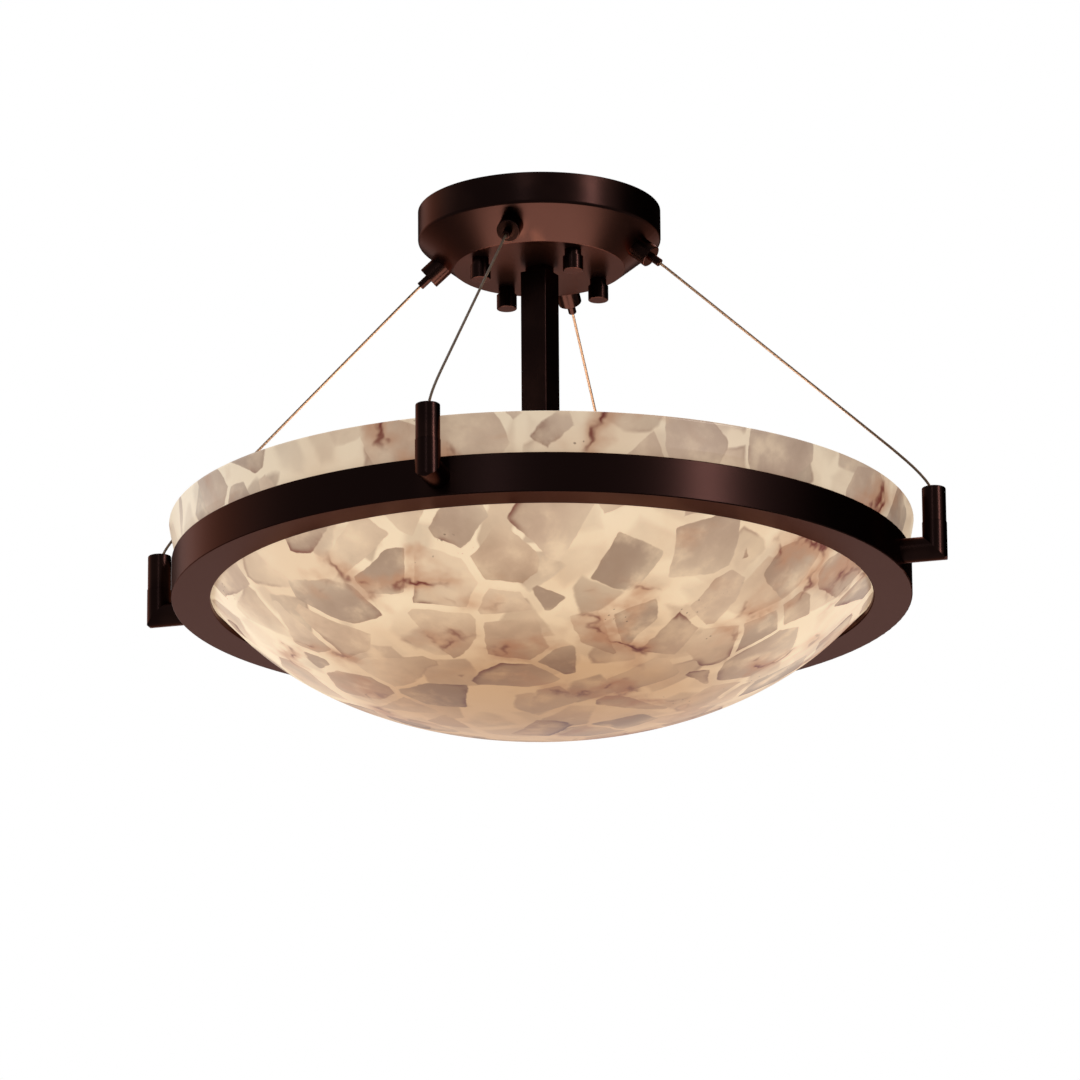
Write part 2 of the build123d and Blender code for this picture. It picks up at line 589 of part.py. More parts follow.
# --- lamp cluster ---------------------------------------------------------------------------------
def lamp_hub():
    """A cup open underneath, with a flat faced boss for each lampholder."""
    bottom = HUB_TOP_LEVEL - HUB_HEIGHT
    cup = rod(HUB_RADIUS, bottom, HUB_TOP_LEVEL)
    cup = fillet(cup.edges().group_by(Axis.Z)[-1], HUB_WALL)
    for number in range(LAMP_COUNT):
        cup += around(on_lamp(rod(BOSS_RADIUS, HUB_RADIUS / 2, LAMP_SEAT)), lamp_azimuth(number))
    cup -= rod(2 * HUB_RADIUS, bottom - BOSS_RADIUS, bottom)
    cup -= rod(HUB_RADIUS - HUB_WALL, bottom - PAST, HUB_TOP_LEVEL - HUB_WALL)
    for number in range(LAMP_COUNT):
        neck = rod(HOLDER_NECK_RADIUS + RUNNING_CLEARANCE, HUB_RADIUS / 2, LAMP_SEAT + PAST)
        cup -= around(on_lamp(neck), lamp_azimuth(number))
    return cup - rod(NIPPLE_RADIUS + RUNNING_CLEARANCE, bottom, HUB_TOP_LEVEL + PAST)


def hub_cover():
    """The disc that closes the hub underneath."""
    top = HUB_TOP_LEVEL - HUB_HEIGHT
    disc = tube(HUB_RADIUS, NIPPLE_RADIUS + RUNNING_CLEARANCE, top - HUB_COVER_THICKNESS, top)
    rim = disc.edges().group_by(Axis.Z)[0].sort_by(SortBy.RADIUS)[-1]
    return fillet(rim, HUB_COVER_THICKNESS / 2)


def hub_nut():
    """A turned cap nut under the hub's cover."""
    top = HUB_TOP_LEVEL - HUB_HEIGHT - HUB_COVER_THICKNESS
    nut = rod(HUB_NUT_RADIUS, top - HUB_NUT_HEIGHT, top)
    nut = fillet(nut.edges().group_by(Axis.Z)[0], HUB_NUT_RADIUS / 3)
    bore = NIPPLE_RADIUS + RUNNING_CLEARANCE / 2
    return nut - rod(bore, top - HUB_NUT_HEIGHT / 2 - SEAM, top + PAST)


def lampholder():
    """Insulating cup whose neck goes into the hub."""
    mouth = LAMP_SEAT + HOLDER_LENGTH
    neck = LAMP_SEAT - HOLDER_NECK_LENGTH
    body = rod(HOLDER_RADIUS, LAMP_SEAT, mouth)
    body = fillet(body.edges().group_by(Axis.Z)[-1], SOFT_EDGE)
    body = fillet(body.edges().group_by(Axis.Z)[0], HOLDER_BACK_ROUND)
    body += rod(HOLDER_NECK_RADIUS, neck, LAMP_SEAT + PAST)
    body -= rod(shell_radius() + RUNNING_CLEARANCE, LAMP_SEAT + HOLDER_FLOOR, mouth + PAST)
    return body - rod(NIPPLE_BORE_RADIUS, neck - PAST, LAMP_SEAT + HOLDER_FLOOR / 2)


def shell_radius():
    """The outside of the screw shell that takes the bulb's cap."""
    return CAP_SCREW_RADIUS + BULB_CLEARANCE + SHELL_WALL


def socket_shell():
    """The brass sleeve that takes the screw cap."""
    floor = LAMP_SEAT + HOLDER_FLOOR
    return tube(shell_radius(), CAP_SCREW_RADIUS + BULB_CLEARANCE, floor, floor + CAP_SCREW_LENGTH)


def socket_contact():
    """The brass button at the lampholder's floor."""
    floor = LAMP_SEAT + HOLDER_FLOOR
    return rod(CONTACT_RADIUS, floor, floor + CONTACT_HEIGHT)


def bulb_cap():
    """Screw cap with its floor and contact tip."""
    top = CAP_SCREW_START + CAP_SCREW_LENGTH
    cap = tube(CAP_SCREW_RADIUS, CAP_SCREW_RADIUS - CAP_SCREW_WALL, CAP_SCREW_START, top)
    cap += Pos(0, 0, CAP_SCREW_START) * Cone(TIP_RADIUS, CAP_SCREW_RADIUS, TIP_HEIGHT, align=UPWARD)
    return cap + rod(TIP_RADIUS, CAP_SCREW_START - TIP_HEIGHT, CAP_SCREW_START)


def bulb():
    """Pear shaped glass envelope on its screw cap."""
    foot = CAP_SCREW_START + CAP_SCREW_LENGTH
    belly = foot + BULB_LENGTH - BULB_RADIUS

    def face_line(inset):
        """One face of the glass from the screw cap to the pole, moved inward by inset."""
        neck = (CAP_SCREW_RADIUS - inset, foot)
        side = (BULB_RADIUS - inset, belly)
        flank = Spline(neck, side, tangents=[(0, 1), (0, 1)])
        crown = CenterArc((0, belly), BULB_RADIUS - inset, 0, 90)
        return flank + crown, neck, (0, belly + BULB_RADIUS - inset)

    outer, outer_neck, outer_pole = face_line(0)
    inner, inner_neck, inner_pole = face_line(GLASS_WALL)
    section = make_face(outer + inner + Line(outer_neck, inner_neck) + Line(outer_pole, inner_pole))
    return revolve(Plane.XZ * section, Axis.Z)


# --- leads ----------------------------------------------------------------------------------------
def lead_route(side):
    """Up the stem's bore and out sideways to the connector under the mounting plate."""
    bottom = HUB_TOP_LEVEL - HUB_HEIGHT + 2 * HUB_WALL
    bend = (side * WIRE_OFFSET, 0, -WIRE_BEND_DEPTH)
    return [(bend[0], 0, bottom), bend, (side * WIRE_REACH, 0, bend[2] + WIRE_RISE)]


def lead(side):
    """One lead of the pair, side +1 or -1 along X."""
    points = lead_route(side)
    return wire_along(points, WIRE_RADIUS, bend_radii(points))


def wire_nut(side):
    """A tapered connector pushed over the end of one lead."""
    bend, end = lead_route(side)[1:]
    frame = Plane(end, z_dir=Vector(*end) - Vector(*bend)).location
    body = Cone(WIRE_NUT_RADIUS, WIRE_NUT_TIP_RADIUS, WIRE_NUT_LENGTH, align=UPWARD)
    body -= rod(WIRE_RADIUS + RUNNING_CLEARANCE, -PAST, WIRE_NUT_ENGAGED + SEAM)
    return frame * Pos(0, 0, -WIRE_NUT_ENGAGED) * body


# --- the nodes ------------------------------------------------------------------------------------
def build():
    """Every node of the light by name."""
    nodes = {
        "mounting_plate": mounting_plate(),
        "canopy": canopy(),
        "canopy_studs": canopy_studs(),
        "stud_nuts": stud_nuts(),
        "ground_screw": ground_screw(),
        "ring": ring(),
        "bowl": bowl(),
        "bowl_pads": bowl_pads(),
        "stem": stem(),
        "stem_plugs": stem_plugs(),
        "stem_top_nipple": stem_top_nipple(),
        "stem_bottom_nipple": stem_bottom_nipple(),
        "stem_lock_nut": stem_lock_nut(),
        "lamp_hub": lamp_hub(),
        "hub_cover": hub_cover(),
        "hub_nut": hub_nut(),
        "live_wire": lead(1),
        "neutral_wire": lead(-1),
        "wire_nuts": group((wire_nut(1), wire_nut(-1))),
    }
    one_for_each_arm = {
        "gripper_body": gripper_body(),
        "gripper_plunger": gripper_plunger(),
        "cable": cable(),
        "post": post(),
        "post_cap": post_cap(),
    }
    grouped_for_each_arm = {
        "gripper_saddles": gripper_saddle(),
        "gripper_nuts": gripper_nut(),
        "gripper_bushes": gripper_bush(),
        "gripper_springs": gripper_spring(),
        "cable_stops": cable_stop(),
        "arm_screws": arm_screw(),
    }
    lamp_pieces = {"lampholder": lampholder(), "bulb": bulb(), "bulb_cap": bulb_cap()}
    lamp_groups = {"socket_shells": socket_shell(), "socket_contacts": socket_contact()}
    for number in range(ARM_COUNT):
        for name, shape in one_for_each_arm.items():
            nodes[f"{name}_{number + 1}"] = around(shape, arm_azimuth(number))
        nodes[f"knob_{number + 1}"] = around(Pos(STUD_CIRCLE, 0, 0) * knob(), knob_azimuth(number))
    for name, shape in grouped_for_each_arm.items():
        nodes[name] = group(around(shape, arm_azimuth(number)) for number in range(ARM_COUNT))
    for number in range(LAMP_COUNT):
        for name, shape in lamp_pieces.items():
            nodes[f"{name}_{number + 1}"] = around(on_lamp(shape), lamp_azimuth(number))
    for name, shape in lamp_groups.items():
        nodes[name] = group(around(on_lamp(shape), lamp_azimuth(number)) for number in range(LAMP_COUNT))
    return nodes


os.makedirs("parts", exist_ok=True)
for node, shape in build().items():
    export_step(shape, f"parts/{node}.step")
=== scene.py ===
"""Semi flush ceiling light: finishes, stranded cables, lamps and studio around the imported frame."""

from __future__ import annotations

import logging
import math
from dataclasses import dataclass, field
from enum import Enum

import bpy
from mathutils import Matrix, Vector

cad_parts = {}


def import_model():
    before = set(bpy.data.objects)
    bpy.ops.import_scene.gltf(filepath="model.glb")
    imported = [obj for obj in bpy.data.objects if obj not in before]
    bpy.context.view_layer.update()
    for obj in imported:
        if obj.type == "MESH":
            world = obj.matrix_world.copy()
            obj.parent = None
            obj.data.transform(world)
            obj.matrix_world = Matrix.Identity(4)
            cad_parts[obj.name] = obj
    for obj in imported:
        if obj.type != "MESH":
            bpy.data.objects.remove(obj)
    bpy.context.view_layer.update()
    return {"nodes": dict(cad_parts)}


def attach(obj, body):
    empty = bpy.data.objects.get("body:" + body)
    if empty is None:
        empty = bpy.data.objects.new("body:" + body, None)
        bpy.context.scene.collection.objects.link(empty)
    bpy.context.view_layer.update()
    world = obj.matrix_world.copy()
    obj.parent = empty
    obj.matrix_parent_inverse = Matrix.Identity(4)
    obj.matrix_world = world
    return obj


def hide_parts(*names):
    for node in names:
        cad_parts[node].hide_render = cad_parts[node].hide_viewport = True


LOG = logging.getLogger("ceiling_light")

Colour = tuple[float, float, float]
Socket = bpy.types.NodeSocket

ARM_COUNT = 4
LAMP_COUNT = 3
MM = 0.001

# Coated finishes: features per metre, and from where to where an edge gets its lighter colour, which is
# wear and, on the dark bronze, a painted highlight.
CLOUD_SCALE = 28.0
PATCH_SCALE = 9.0
WORN_AND_LIT_EDGE = (0.52, 0.6)
WORN_AND_LIT_CLOUD = (0.35, 0.65)


def srgb(red: int, green: int, blue: int) -> Colour:
    """Turns a colour of 0 to 255 values into the linear values that shaders take.

    Args:
        red: Red, 0 to 255.
        green: Green, 0 to 255.
        blue: Blue, 0 to 255.

    Returns:
        The same colour in linear light.
    """

    def linear(value: int) -> float:
        """One channel in linear light."""
        part = value / 255
        return part / 12.92 if part <= 0.04045 else ((part + 0.055) / 1.055) ** 2.4

    return linear(red), linear(green), linear(blue)


# --- shader building ------------------------------------------------------------------------------


class Mix(Enum):
    """Ways in which one colour is laid over another."""

    OVER = "MIX"
    MULTIPLY = "MULTIPLY"


class Graph:
    """A node tree with short calls for the nodes that the finishes use."""

    def __init__(self, tree: bpy.types.NodeTree) -> None:
        """Keeps the tree that the nodes go into."""
        self.tree = tree

    def node(self, kind: str, inputs: dict | None = None, **settings: object) -> bpy.types.Node:
        """Adds one node.

        Args:
            kind: Blender's name of the node type.
            inputs: Socket name or number to a value or to a socket that feeds it.
            **settings: Attributes of the node, such as its operation.

        Returns:
            The new node.
        """
        made = self.tree.nodes.new(kind)
        for name, value in settings.items():
            setattr(made, name, value)
        for name, value in (inputs or {}).items():
            self.feed(made.inputs[name], value)
        return made

    def feed(self, socket: Socket, value: Socket | float | tuple[float, ...]) -> None:
        """Links a socket to another one, or sets its plain value.

        Args:
            socket: The socket to feed.
            value: Another socket, a number, a vector, or a colour with or without its alpha.
        """
        if isinstance(value, bpy.types.NodeSocket):
            self.tree.links.new(value, socket)
        elif isinstance(value, tuple) and len(value) == 3 and socket.type == "RGBA":
            socket.default_value = (*value, 1.0)
        else:
            socket.default_value = value

    def math(self, operation: str, *values: Socket | float) -> Socket:
        """Adds a Math node and returns its output."""
        return self.node("ShaderNodeMath", dict(enumerate(values)), operation=operation).outputs[0]

    def product(self, first: Socket, *others: Socket | float) -> Socket:
        """Multiplies the first value with each of the others in turn.

        Args:
            first: The first value.
            *others: What it is multiplied with.

        Returns:
            The product.
        """
        for other in others:
            first = self.math("MULTIPLY", first, other)
        return first

    def vector(self, operation: str, *values: Socket | Colour, output: str = "Vector") -> Socket:
        """Adds a Vector Math node and returns the named output."""
        made = self.node("ShaderNodeVectorMath", dict(enumerate(values)), operation=operation)
        return made.outputs[output]

    def scaled(self, vector: Socket, amount: Socket | float) -> Socket:
        """A vector, or a colour taken as one, times a number."""
        inputs = {0: vector, "Scale": amount}
        return self.node("ShaderNodeVectorMath", inputs, operation="SCALE").outputs["Vector"]

    def step(self, value: Socket, low: float, high: float) -> Socket:
        """A smooth rise from 0 at low to 1 at high."""
        inputs = {"Value": value, "From Min": low, "From Max": high}
        return self.node("ShaderNodeMapRange", inputs, interpolation_type="SMOOTHSTEP").outputs[0]

    def span(self, value: Socket, low: float, high: float) -> Socket:
        """A 0 to 1 value spread between two limits."""
        inputs = {"Value": value, "To Min": low, "To Max": high}
        return self.node("ShaderNodeMapRange", inputs).outputs[0]

    def blend(
        self,
        factor: Socket | float,
        under: Socket | Colour,
        over: Socket | Colour,
        mode: Mix = Mix.OVER,
    ) -> Socket:
        """Lays one colour over another.

        Args:
            factor: How much of the upper colour shows, 0 to 1.
            under: The lower colour.
            over: The upper colour.
            mode: How the upper colour is laid.

        Returns:
            The mixed colour.
        """
        made = self.node("ShaderNodeMix", data_type="RGBA", blend_type=mode.value)
        for name, value in (("Factor_Float", factor), ("A_Color", under), ("B_Color", over)):
            self.feed(next(s for s in made.inputs if s.identifier == name), value)
        return next(s for s in made.outputs if s.identifier == "Result_Color")

    def ramp(self, factor: Socket, stops: tuple[tuple[float, Colour], ...]) -> Socket:
        """Turns a value into a colour.

        Args:
            factor: The value, 0 to 1.
            stops: Places on the ramp and their colours.

        Returns:
            The colour at the value.
        """
        made = self.node("ShaderNodeValToRGB", {"Fac": factor})
        marks = made.color_ramp.elements
        while len(marks) < len(stops):
            marks.new(1.0)
        for mark, (place, colour) in zip(marks, stops):
            mark.position = place
            mark.color = (*colour, 1.0)
        return made.outputs["Color"]

    def noise(
        self, where: Socket, scale: Socket | float, detail: float = 2.0, output: str = "Fac"
    ) -> Socket:
        """Cloud noise of a scale in features per metre."""
        inputs = {"Vector": where, "Scale": scale, "Detail": detail}
        return self.node("ShaderNodeTexNoise", inputs).outputs[output]

    def chances(self, colour: Socket) -> bpy.types.NodeOutputs:
        """The three random values that a cell's random colour holds."""
        return self.node("ShaderNodeSeparateColor", {"Color": colour}).outputs

    def place(self) -> Socket:
        """The point on the piece, in its own metres."""
        return self.node("ShaderNodeTexCoord").outputs["Object"]


def new_group(
    name: str, inputs: dict[str, tuple[str, object]], outputs: dict[str, str]
) -> tuple[bpy.types.NodeTree, Graph, bpy.types.Node, bpy.types.Node]:
    """Starts a node group with named sockets.

    Args:
        name: The group's name.
        inputs: Input name to its socket kind and default value.
        outputs: Output name to its socket kind.

    Returns:
        The group, a Graph of its tree, its input node and its output node.
    """
    group = bpy.data.node_groups.new(name, "ShaderNodeTree")
    for label, (kind, default) in inputs.items():
        socket = group.interface.new_socket(label, in_out="INPUT", socket_type=kind)
        socket.default_value = default
    for label, kind in outputs.items():
        group.interface.new_socket(label, in_out="OUTPUT", socket_type=kind)
    graph = Graph(group)
    return group, graph, graph.node("NodeGroupInput"), graph.node("NodeGroupOutput")


def coated_surface_group() -> bpy.types.NodeTree:
    """Fine grain, cloudy colour and lighter sharp edges (wear, and on the dark bronze also a painted
    highlight), for every painted, plated and moulded finish.

    Returns:
        A group that turns a base and an edge colour into Color, Roughness and Height.
    """
    group, graph, entry, out = new_group(
        "coated_surface",
        {
            "Base": ("NodeSocketColor", (0.1, 0.1, 0.1, 1.0)),
            "Edge wear and highlight": ("NodeSocketColor", (0.3, 0.3, 0.3, 1.0)),
            "Edge wear and highlight share": ("NodeSocketFloat", 0.3),
            "Clouds": ("NodeSocketFloat", 0.1),
            "Roughness": ("NodeSocketFloat", 0.4),
            "Roughness spread": ("NodeSocketFloat", 0.1),
            "Grain scale": ("NodeSocketFloat", 2500.0),
        },
        {"Color": "NodeSocketColor", "Roughness": "NodeSocketFloat", "Height": "NodeSocketFloat"},
    )
    given = entry.outputs
    where = graph.place()
    cloud = graph.noise(where, CLOUD_SCALE, 4.0)
    patches = graph.noise(where, PATCH_SCALE, 3.0)
    grain = graph.noise(where, given["Grain scale"], 1.0)
    sharp = graph.node("ShaderNodeNewGeometry").outputs["Pointiness"]
    # Lighter colour on sharp edges: wear, and on the dark bronze also a painted highlight.
    edge = graph.product(graph.step(sharp, *WORN_AND_LIT_EDGE), graph.step(cloud, *WORN_AND_LIT_CLOUD), given["Edge wear and highlight share"])
    shade = graph.product(graph.math("SUBTRACT", cloud, 0.5), given["Clouds"])
    tone = graph.scaled(given["Base"], graph.math("ADD", 1.0, shade))
    uneven = graph.product(graph.math("SUBTRACT", patches, 0.5), given["Roughness spread"])
    graph.feed(out.inputs["Color"], graph.blend(edge, tone, given["Edge wear and highlight"]))
    graph.feed(out.inputs["Roughness"], graph.math("ADD", given["Roughness"], uneven))
    graph.feed(out.inputs["Height"], grain)
    return group


class Material:
    """A new material with one Principled shader."""

    def __init__(self, name: str) -> None:
        """Makes the empty material.

        Args:
            name: The material's name.
        """
        self.material = bpy.data.materials.new(name)
        self.material.use_nodes = True
        tree = self.material.node_tree
        self.graph = Graph(tree)
        self.shader = tree.nodes["Principled BSDF"]

    def set(self, **values: Socket | float | tuple[float, ...]) -> None:
        """Sets plain values or links on the shader, with _ for a space in the socket's name."""
        for name, value in values.items():
            self.graph.feed(self.shader.inputs[name.replace("_", " ")], value)

    def bump(self, height: Socket, strength: float, depth: float) -> None:
        """Feeds a height through a Bump node into the shader's normal."""
        inputs = {"Height": height, "Strength": strength, "Distance": depth}
        self.set(Normal=self.graph.node("ShaderNodeBump", inputs).outputs["Normal"])


# --- finishes -------------------------------------------------------------------------------------


@dataclass(frozen=True)
class CoatedFinish:
    """A painted, plated, cast or moulded finish.

    Args:
        name: The material's name.
        base: Main colour, linear.
        edge_wear_and_highlight: Colour of sharp edges, linear: wear, and on the dark bronze also a painted
            highlight.
        metallic: 0 for plastic, 1 for metal and for lacquer that shines like it.
        roughness: Mean roughness.
        spread: How much the roughness varies in broad patches.
        edge_wear_and_highlight_share: How much of the edge colour shows on sharp edges.
        clouds: How much the main colour varies.
        grain_scale: Grains per metre.
        edge_tint: Colour of the shine at a low angle.
        grain_depth: Depth of the grain in metres.
        grain_strength: Strength of the grain's relief.
    """

    name: str
    base: Colour
    edge_wear_and_highlight: Colour
    metallic: float = 0.0
    roughness: float = 0.4
    spread: float = 0.1
    edge_wear_and_highlight_share: float = 0.3
    clouds: float = 0.2
    grain_scale: float = 2500.0
    edge_tint: Colour = (1.0, 1.0, 1.0)
    grain_depth: float = 0.02 * MM
    grain_strength: float = 0.15

    def build(self, surface: bpy.types.NodeTree) -> bpy.types.Material:
        """Makes the material around the shared surface group.

        Args:
            surface: The coated_surface group.

        Returns:
            The new material.
        """
        made = Material(self.name)
        inputs = {
            "Base": self.base,
            "Edge wear and highlight": self.edge_wear_and_highlight,
            "Edge wear and highlight share": self.edge_wear_and_highlight_share,
            "Clouds": self.clouds,
            "Roughness": self.roughness,
            "Roughness spread": self.spread,
            "Grain scale": self.grain_scale,
        }
        group = made.graph.node("ShaderNodeGroup", node_tree=surface)
        for name, value in inputs.items():
            made.graph.feed(group.inputs[name], value)
        made.set(
            Base_Color=group.outputs["Color"],
            Roughness=group.outputs["Roughness"],
            Metallic=self.metallic,
            Specular_Tint=(*self.edge_tint, 1.0),
        )
        made.bump(group.outputs["Height"], self.grain_strength, self.grain_depth)
        return made.material


@dataclass(frozen=True)
class StoneLayer:
    """One layer of stone pieces in the resin.

    Args:
        scale: Pieces per metre.
        shift: Offset that makes this layer's pieces its own.
        half_size: Least and greatest half length of a piece's sides, as shares of its place.
        gap: Least and greatest distance of a piece from its place's edge, as shares of the place.
        softness: Width of a piece's edge, as a share of a place.
        missing: Share of places that hold no piece.
        hide: How much a piece hides what is behind it.
    """

    scale: float
    shift: float
    half_size: tuple[float, float]
    gap: tuple[float, float]
    softness: float
    missing: float
    hide: float


@dataclass(frozen=True)
class StoneScales:
    """Features per metre of everything irregular in the bowl."""

    haze: float = 16.0
    cloud: float = 45.0
    streak: float = 26.0
    rust_edge: float = 38.0
    rust_line: float = 9.0
    rust_patch: float = 14.0
    rust_break: float = 60.0
    grain: float = 420.0
    grain_patch: float = 19.0
    relief: float = 60.0


@dataclass(frozen=True)
class StoneResinFinish:
    """Broken pieces of pale stone cast in warm cream resin, glowing from the lamps inside.

    Args:
        name: The material's name.
        resin: The cream resin.
        resin_shade: Its hazier parts.
        tones: The stone pieces, as a ramp that a random value picks from.
        vein: The rust lines.
        stain: Warm streaks, and the halo round a rust line.
        shade: A piece's dark clouds, and the painted shade on one side of it.
        crack: The fine line along the edge of a piece on its painted-shade side.
        fleck: The small dark grains.
        layers: The layers of pieces, the deepest first.
        wobbles: Scale and shift in metres of each noise that makes the pieces' sides uneven.
        corner: Rounding between a piece's own sides, as a share of its place.
        cut: Rounding between a piece and its place's edge, as a share of the place.
        murk: Share of shade in a piece's dark clouds.
        warmth: Share of stain in its warm streaks.
        painted_shade_side: Share of painted shade on one side of a piece, in a random direction per piece.
        painted_light_side: Share of resin colour on its other side, as painted light coming through.
        painted_light_side: Share of resin that shows through its thin side.
        outline: Share of crack on its thick side's edge.
        halo: Share of stain round a rust line.
        speckle: Share of their own colour that the dark grains show.
        scales: Features per metre of the haze, clouds, rust, grains and relief.
        depth: Painted shade by distance from the axis, as shares of reach, in both the glow and the
        base colour: a warm, darker bottom and a duller rim, both further from the lamps.
        reach: Radius that the painted shade runs over, in metres.
        glow: Strength of the light that comes through.
        daylight: Share of the colour that outside light sees.
        roughness: Roughness of the outer face.
        shine: Specular level of the outer face.
    """

    name: str = "stone_and_resin"
    resin: Colour = srgb(246, 223, 191)
    resin_shade: Colour = srgb(236, 208, 175)
    tones: tuple[tuple[float, Colour], ...] = (
        (0.0, srgb(156, 130, 111)),
        (0.15, srgb(176, 149, 128)),
        (0.32, srgb(196, 167, 143)),
        (0.5, srgb(212, 184, 157)),
        (0.66, srgb(198, 167, 140)),
        (0.84, srgb(226, 200, 171)),
        (1.0, srgb(186, 150, 123)),
    )
    vein: Colour = srgb(112, 46, 34)
    stain: Colour = srgb(186, 132, 98)
    shade: Colour = srgb(146, 116, 94)
    crack: Colour = srgb(140, 88, 62)
    fleck: Colour = srgb(76, 48, 40)
    layers: tuple[StoneLayer, ...] = (
        StoneLayer(27.0, 11.7, (0.4, 0.7), (0.02, 0.06), 0.14, 0.2, 0.35),
        StoneLayer(24.0, 5.3, (0.32, 0.58), (0.02, 0.08), 0.05, 0.35, 0.7),
        StoneLayer(22.0, 3.1, (0.34, 0.66), (0.008, 0.085), 0.02, 0.1, 0.95),
    )
    wobbles: tuple[tuple[float, float], ...] = ((9.0, 0.02), (60.0, 0.0035), (240.0, 0.001))
    corner: float = 0.06
    cut: float = 0.04
    murk: float = 0.3
    warmth: float = 0.4
    painted_shade_side: float = 0.42
    painted_light_side: float = 0.4
    outline: float = 0.35
    halo: float = 0.75
    speckle: float = 0.6
    scales: StoneScales = StoneScales()
    depth: tuple[tuple[float, Colour], ...] = (
        (0.0, (0.52, 0.36, 0.24)),
        (0.36, (0.64, 0.465, 0.33)),
        (0.6, (1.0, 0.94, 0.87)),
        (0.84, (1.04, 1.02, 1.0)),
        (0.92, (0.82, 0.83, 0.86)),
    )
    reach: float = 0.25
    glow: float = 0.7
    daylight: Colour = (0.5, 0.5, 0.5)
    roughness: float = 0.34
    shine: float = 0.2

    def _warped(self, graph: Graph) -> Socket:
        """The point on the bowl, shifted a little so that the pieces' sides are uneven.

        Args:
            graph: The material's graph.

        Returns:
            The shifted point.
        """
        where = graph.place()
        for scale, amount in self.wobbles:
            shift = graph.vector("SUBTRACT", graph.noise(where, scale, 2.0, "Color"), (0.5, 0.5, 0.5))
            where = graph.vector("ADD", where, graph.scaled(shift, amount))
        return where

    def _piece(self, graph: Graph, where: Socket, layer: StoneLayer) -> dict[str, Socket]:
        """Masks and colours of one layer of pieces: random boxes, each cut off at its place's edge.

        Args:
            graph: The material's graph.
            where: The warped point.
            layer: The layer's sizes.

        Returns:
            Sockets piece (mask), tone (colour), lean (-1 to 1 across a piece), inside (distance
            from the piece's own edge), and veined (1 for a piece that may have rust on its edge).
        """
        place = graph.vector("ADD", where, (layer.shift, layer.shift, layer.shift))
        shared = {"Vector": place, "Scale": layer.scale}
        cells = graph.node("ShaderNodeTexVoronoi", shared, feature="F1").outputs
        edges = graph.node("ShaderNodeTexVoronoi", shared, feature="DISTANCE_TO_EDGE").outputs
        pick = graph.chances(cells["Color"])
        offset = graph.scaled(graph.vector("SUBTRACT", place, cells["Position"]), layer.scale)
        turn = {"Vector": offset, "Rotation": graph.scaled(cells["Color"], math.tau)}
        own = graph.node("ShaderNodeVectorRotate", turn, rotation_type="EULER_XYZ").outputs["Vector"]
        low, high = layer.half_size
        half = graph.vector("MULTIPLY_ADD", cells["Color"], (high - low,) * 3, (low,) * 3)
        room = graph.vector("SUBTRACT", half, graph.vector("ABSOLUTE", own))
        sides = graph.node("ShaderNodeSeparateXYZ", {"Vector": room}).outputs
        box = graph.math("SMOOTH_MIN", sides["X"], sides["Y"], self.corner)
        box = graph.math("SMOOTH_MIN", box, sides["Z"], self.corner)
        edge = graph.math("SUBTRACT", edges["Distance"], graph.span(pick["Green"], *layer.gap))
        gone = graph.product(graph.math("LESS_THAN", pick["Blue"], layer.missing), 2.0)
        inside = graph.math("SUBTRACT", graph.math("SMOOTH_MIN", box, edge, self.cut), gone)
        across = graph.node("ShaderNodeSeparateXYZ", {"Vector": own}).outputs["X"]
        return {
            "piece": graph.product(graph.step(inside, 0.0, layer.softness), layer.hide),
            "tone": graph.ramp(pick["Red"], self.tones),
            "lean": graph.math("DIVIDE", across, high),
            "inside": inside,
            "veined": graph.math("GREATER_THAN", pick["Blue"], 0.5),
        }

    def _laid(self, graph: Graph, where: Socket, under: Socket, layer: StoneLayer) -> Socket:
        """Lays one layer of pieces, with veins and with painted shade and light across each piece, over
        what is behind it.

        Args:
            graph: The material's graph.
            where: The warped point.
            under: Colour behind this layer.
            layer: The layer's sizes.

        Returns:
            The colour with this layer.
        """
        stone = self._piece(graph, where, layer)
        cloud = graph.noise(where, self.scales.cloud, 6.0)
        streak = graph.noise(graph.vector("MULTIPLY", where, (1.0, 1.0, 3.0)), self.scales.streak, 5.0)
        patch = graph.step(graph.noise(where, self.scales.rust_edge, 5.0), 0.44, 0.6)
        side = graph.step(stone["lean"], 0.1, 0.6)
        rim = graph.step(stone["inside"], 0.1, 0.0)
        hairline = graph.step(stone["inside"], 0.03, 0.0)
        tone = graph.blend(graph.step(cloud, 0.45, 0.8), stone["tone"], self.resin_shade)
        washes = (
            (graph.product(graph.step(cloud, 0.5, 0.25), self.murk), self.shade),
            (graph.product(graph.step(streak, 0.55, 0.8), self.warmth), self.stain),
            # Painted shade on one side of each piece and painted light in resin colour on the other.
            (graph.product(graph.step(stone["lean"], -0.1, 0.9), self.painted_shade_side), self.shade),
            (graph.product(graph.step(stone["lean"], 0.1, -0.9), self.painted_light_side), self.resin),
            (graph.product(hairline, side, self.outline), self.crack),
            (graph.product(rim, side, patch, stone["veined"]), self.vein),
        )
        for amount, colour in washes:
            tone = graph.blend(amount, tone, colour)
        return graph.blend(stone["piece"], under, tone)

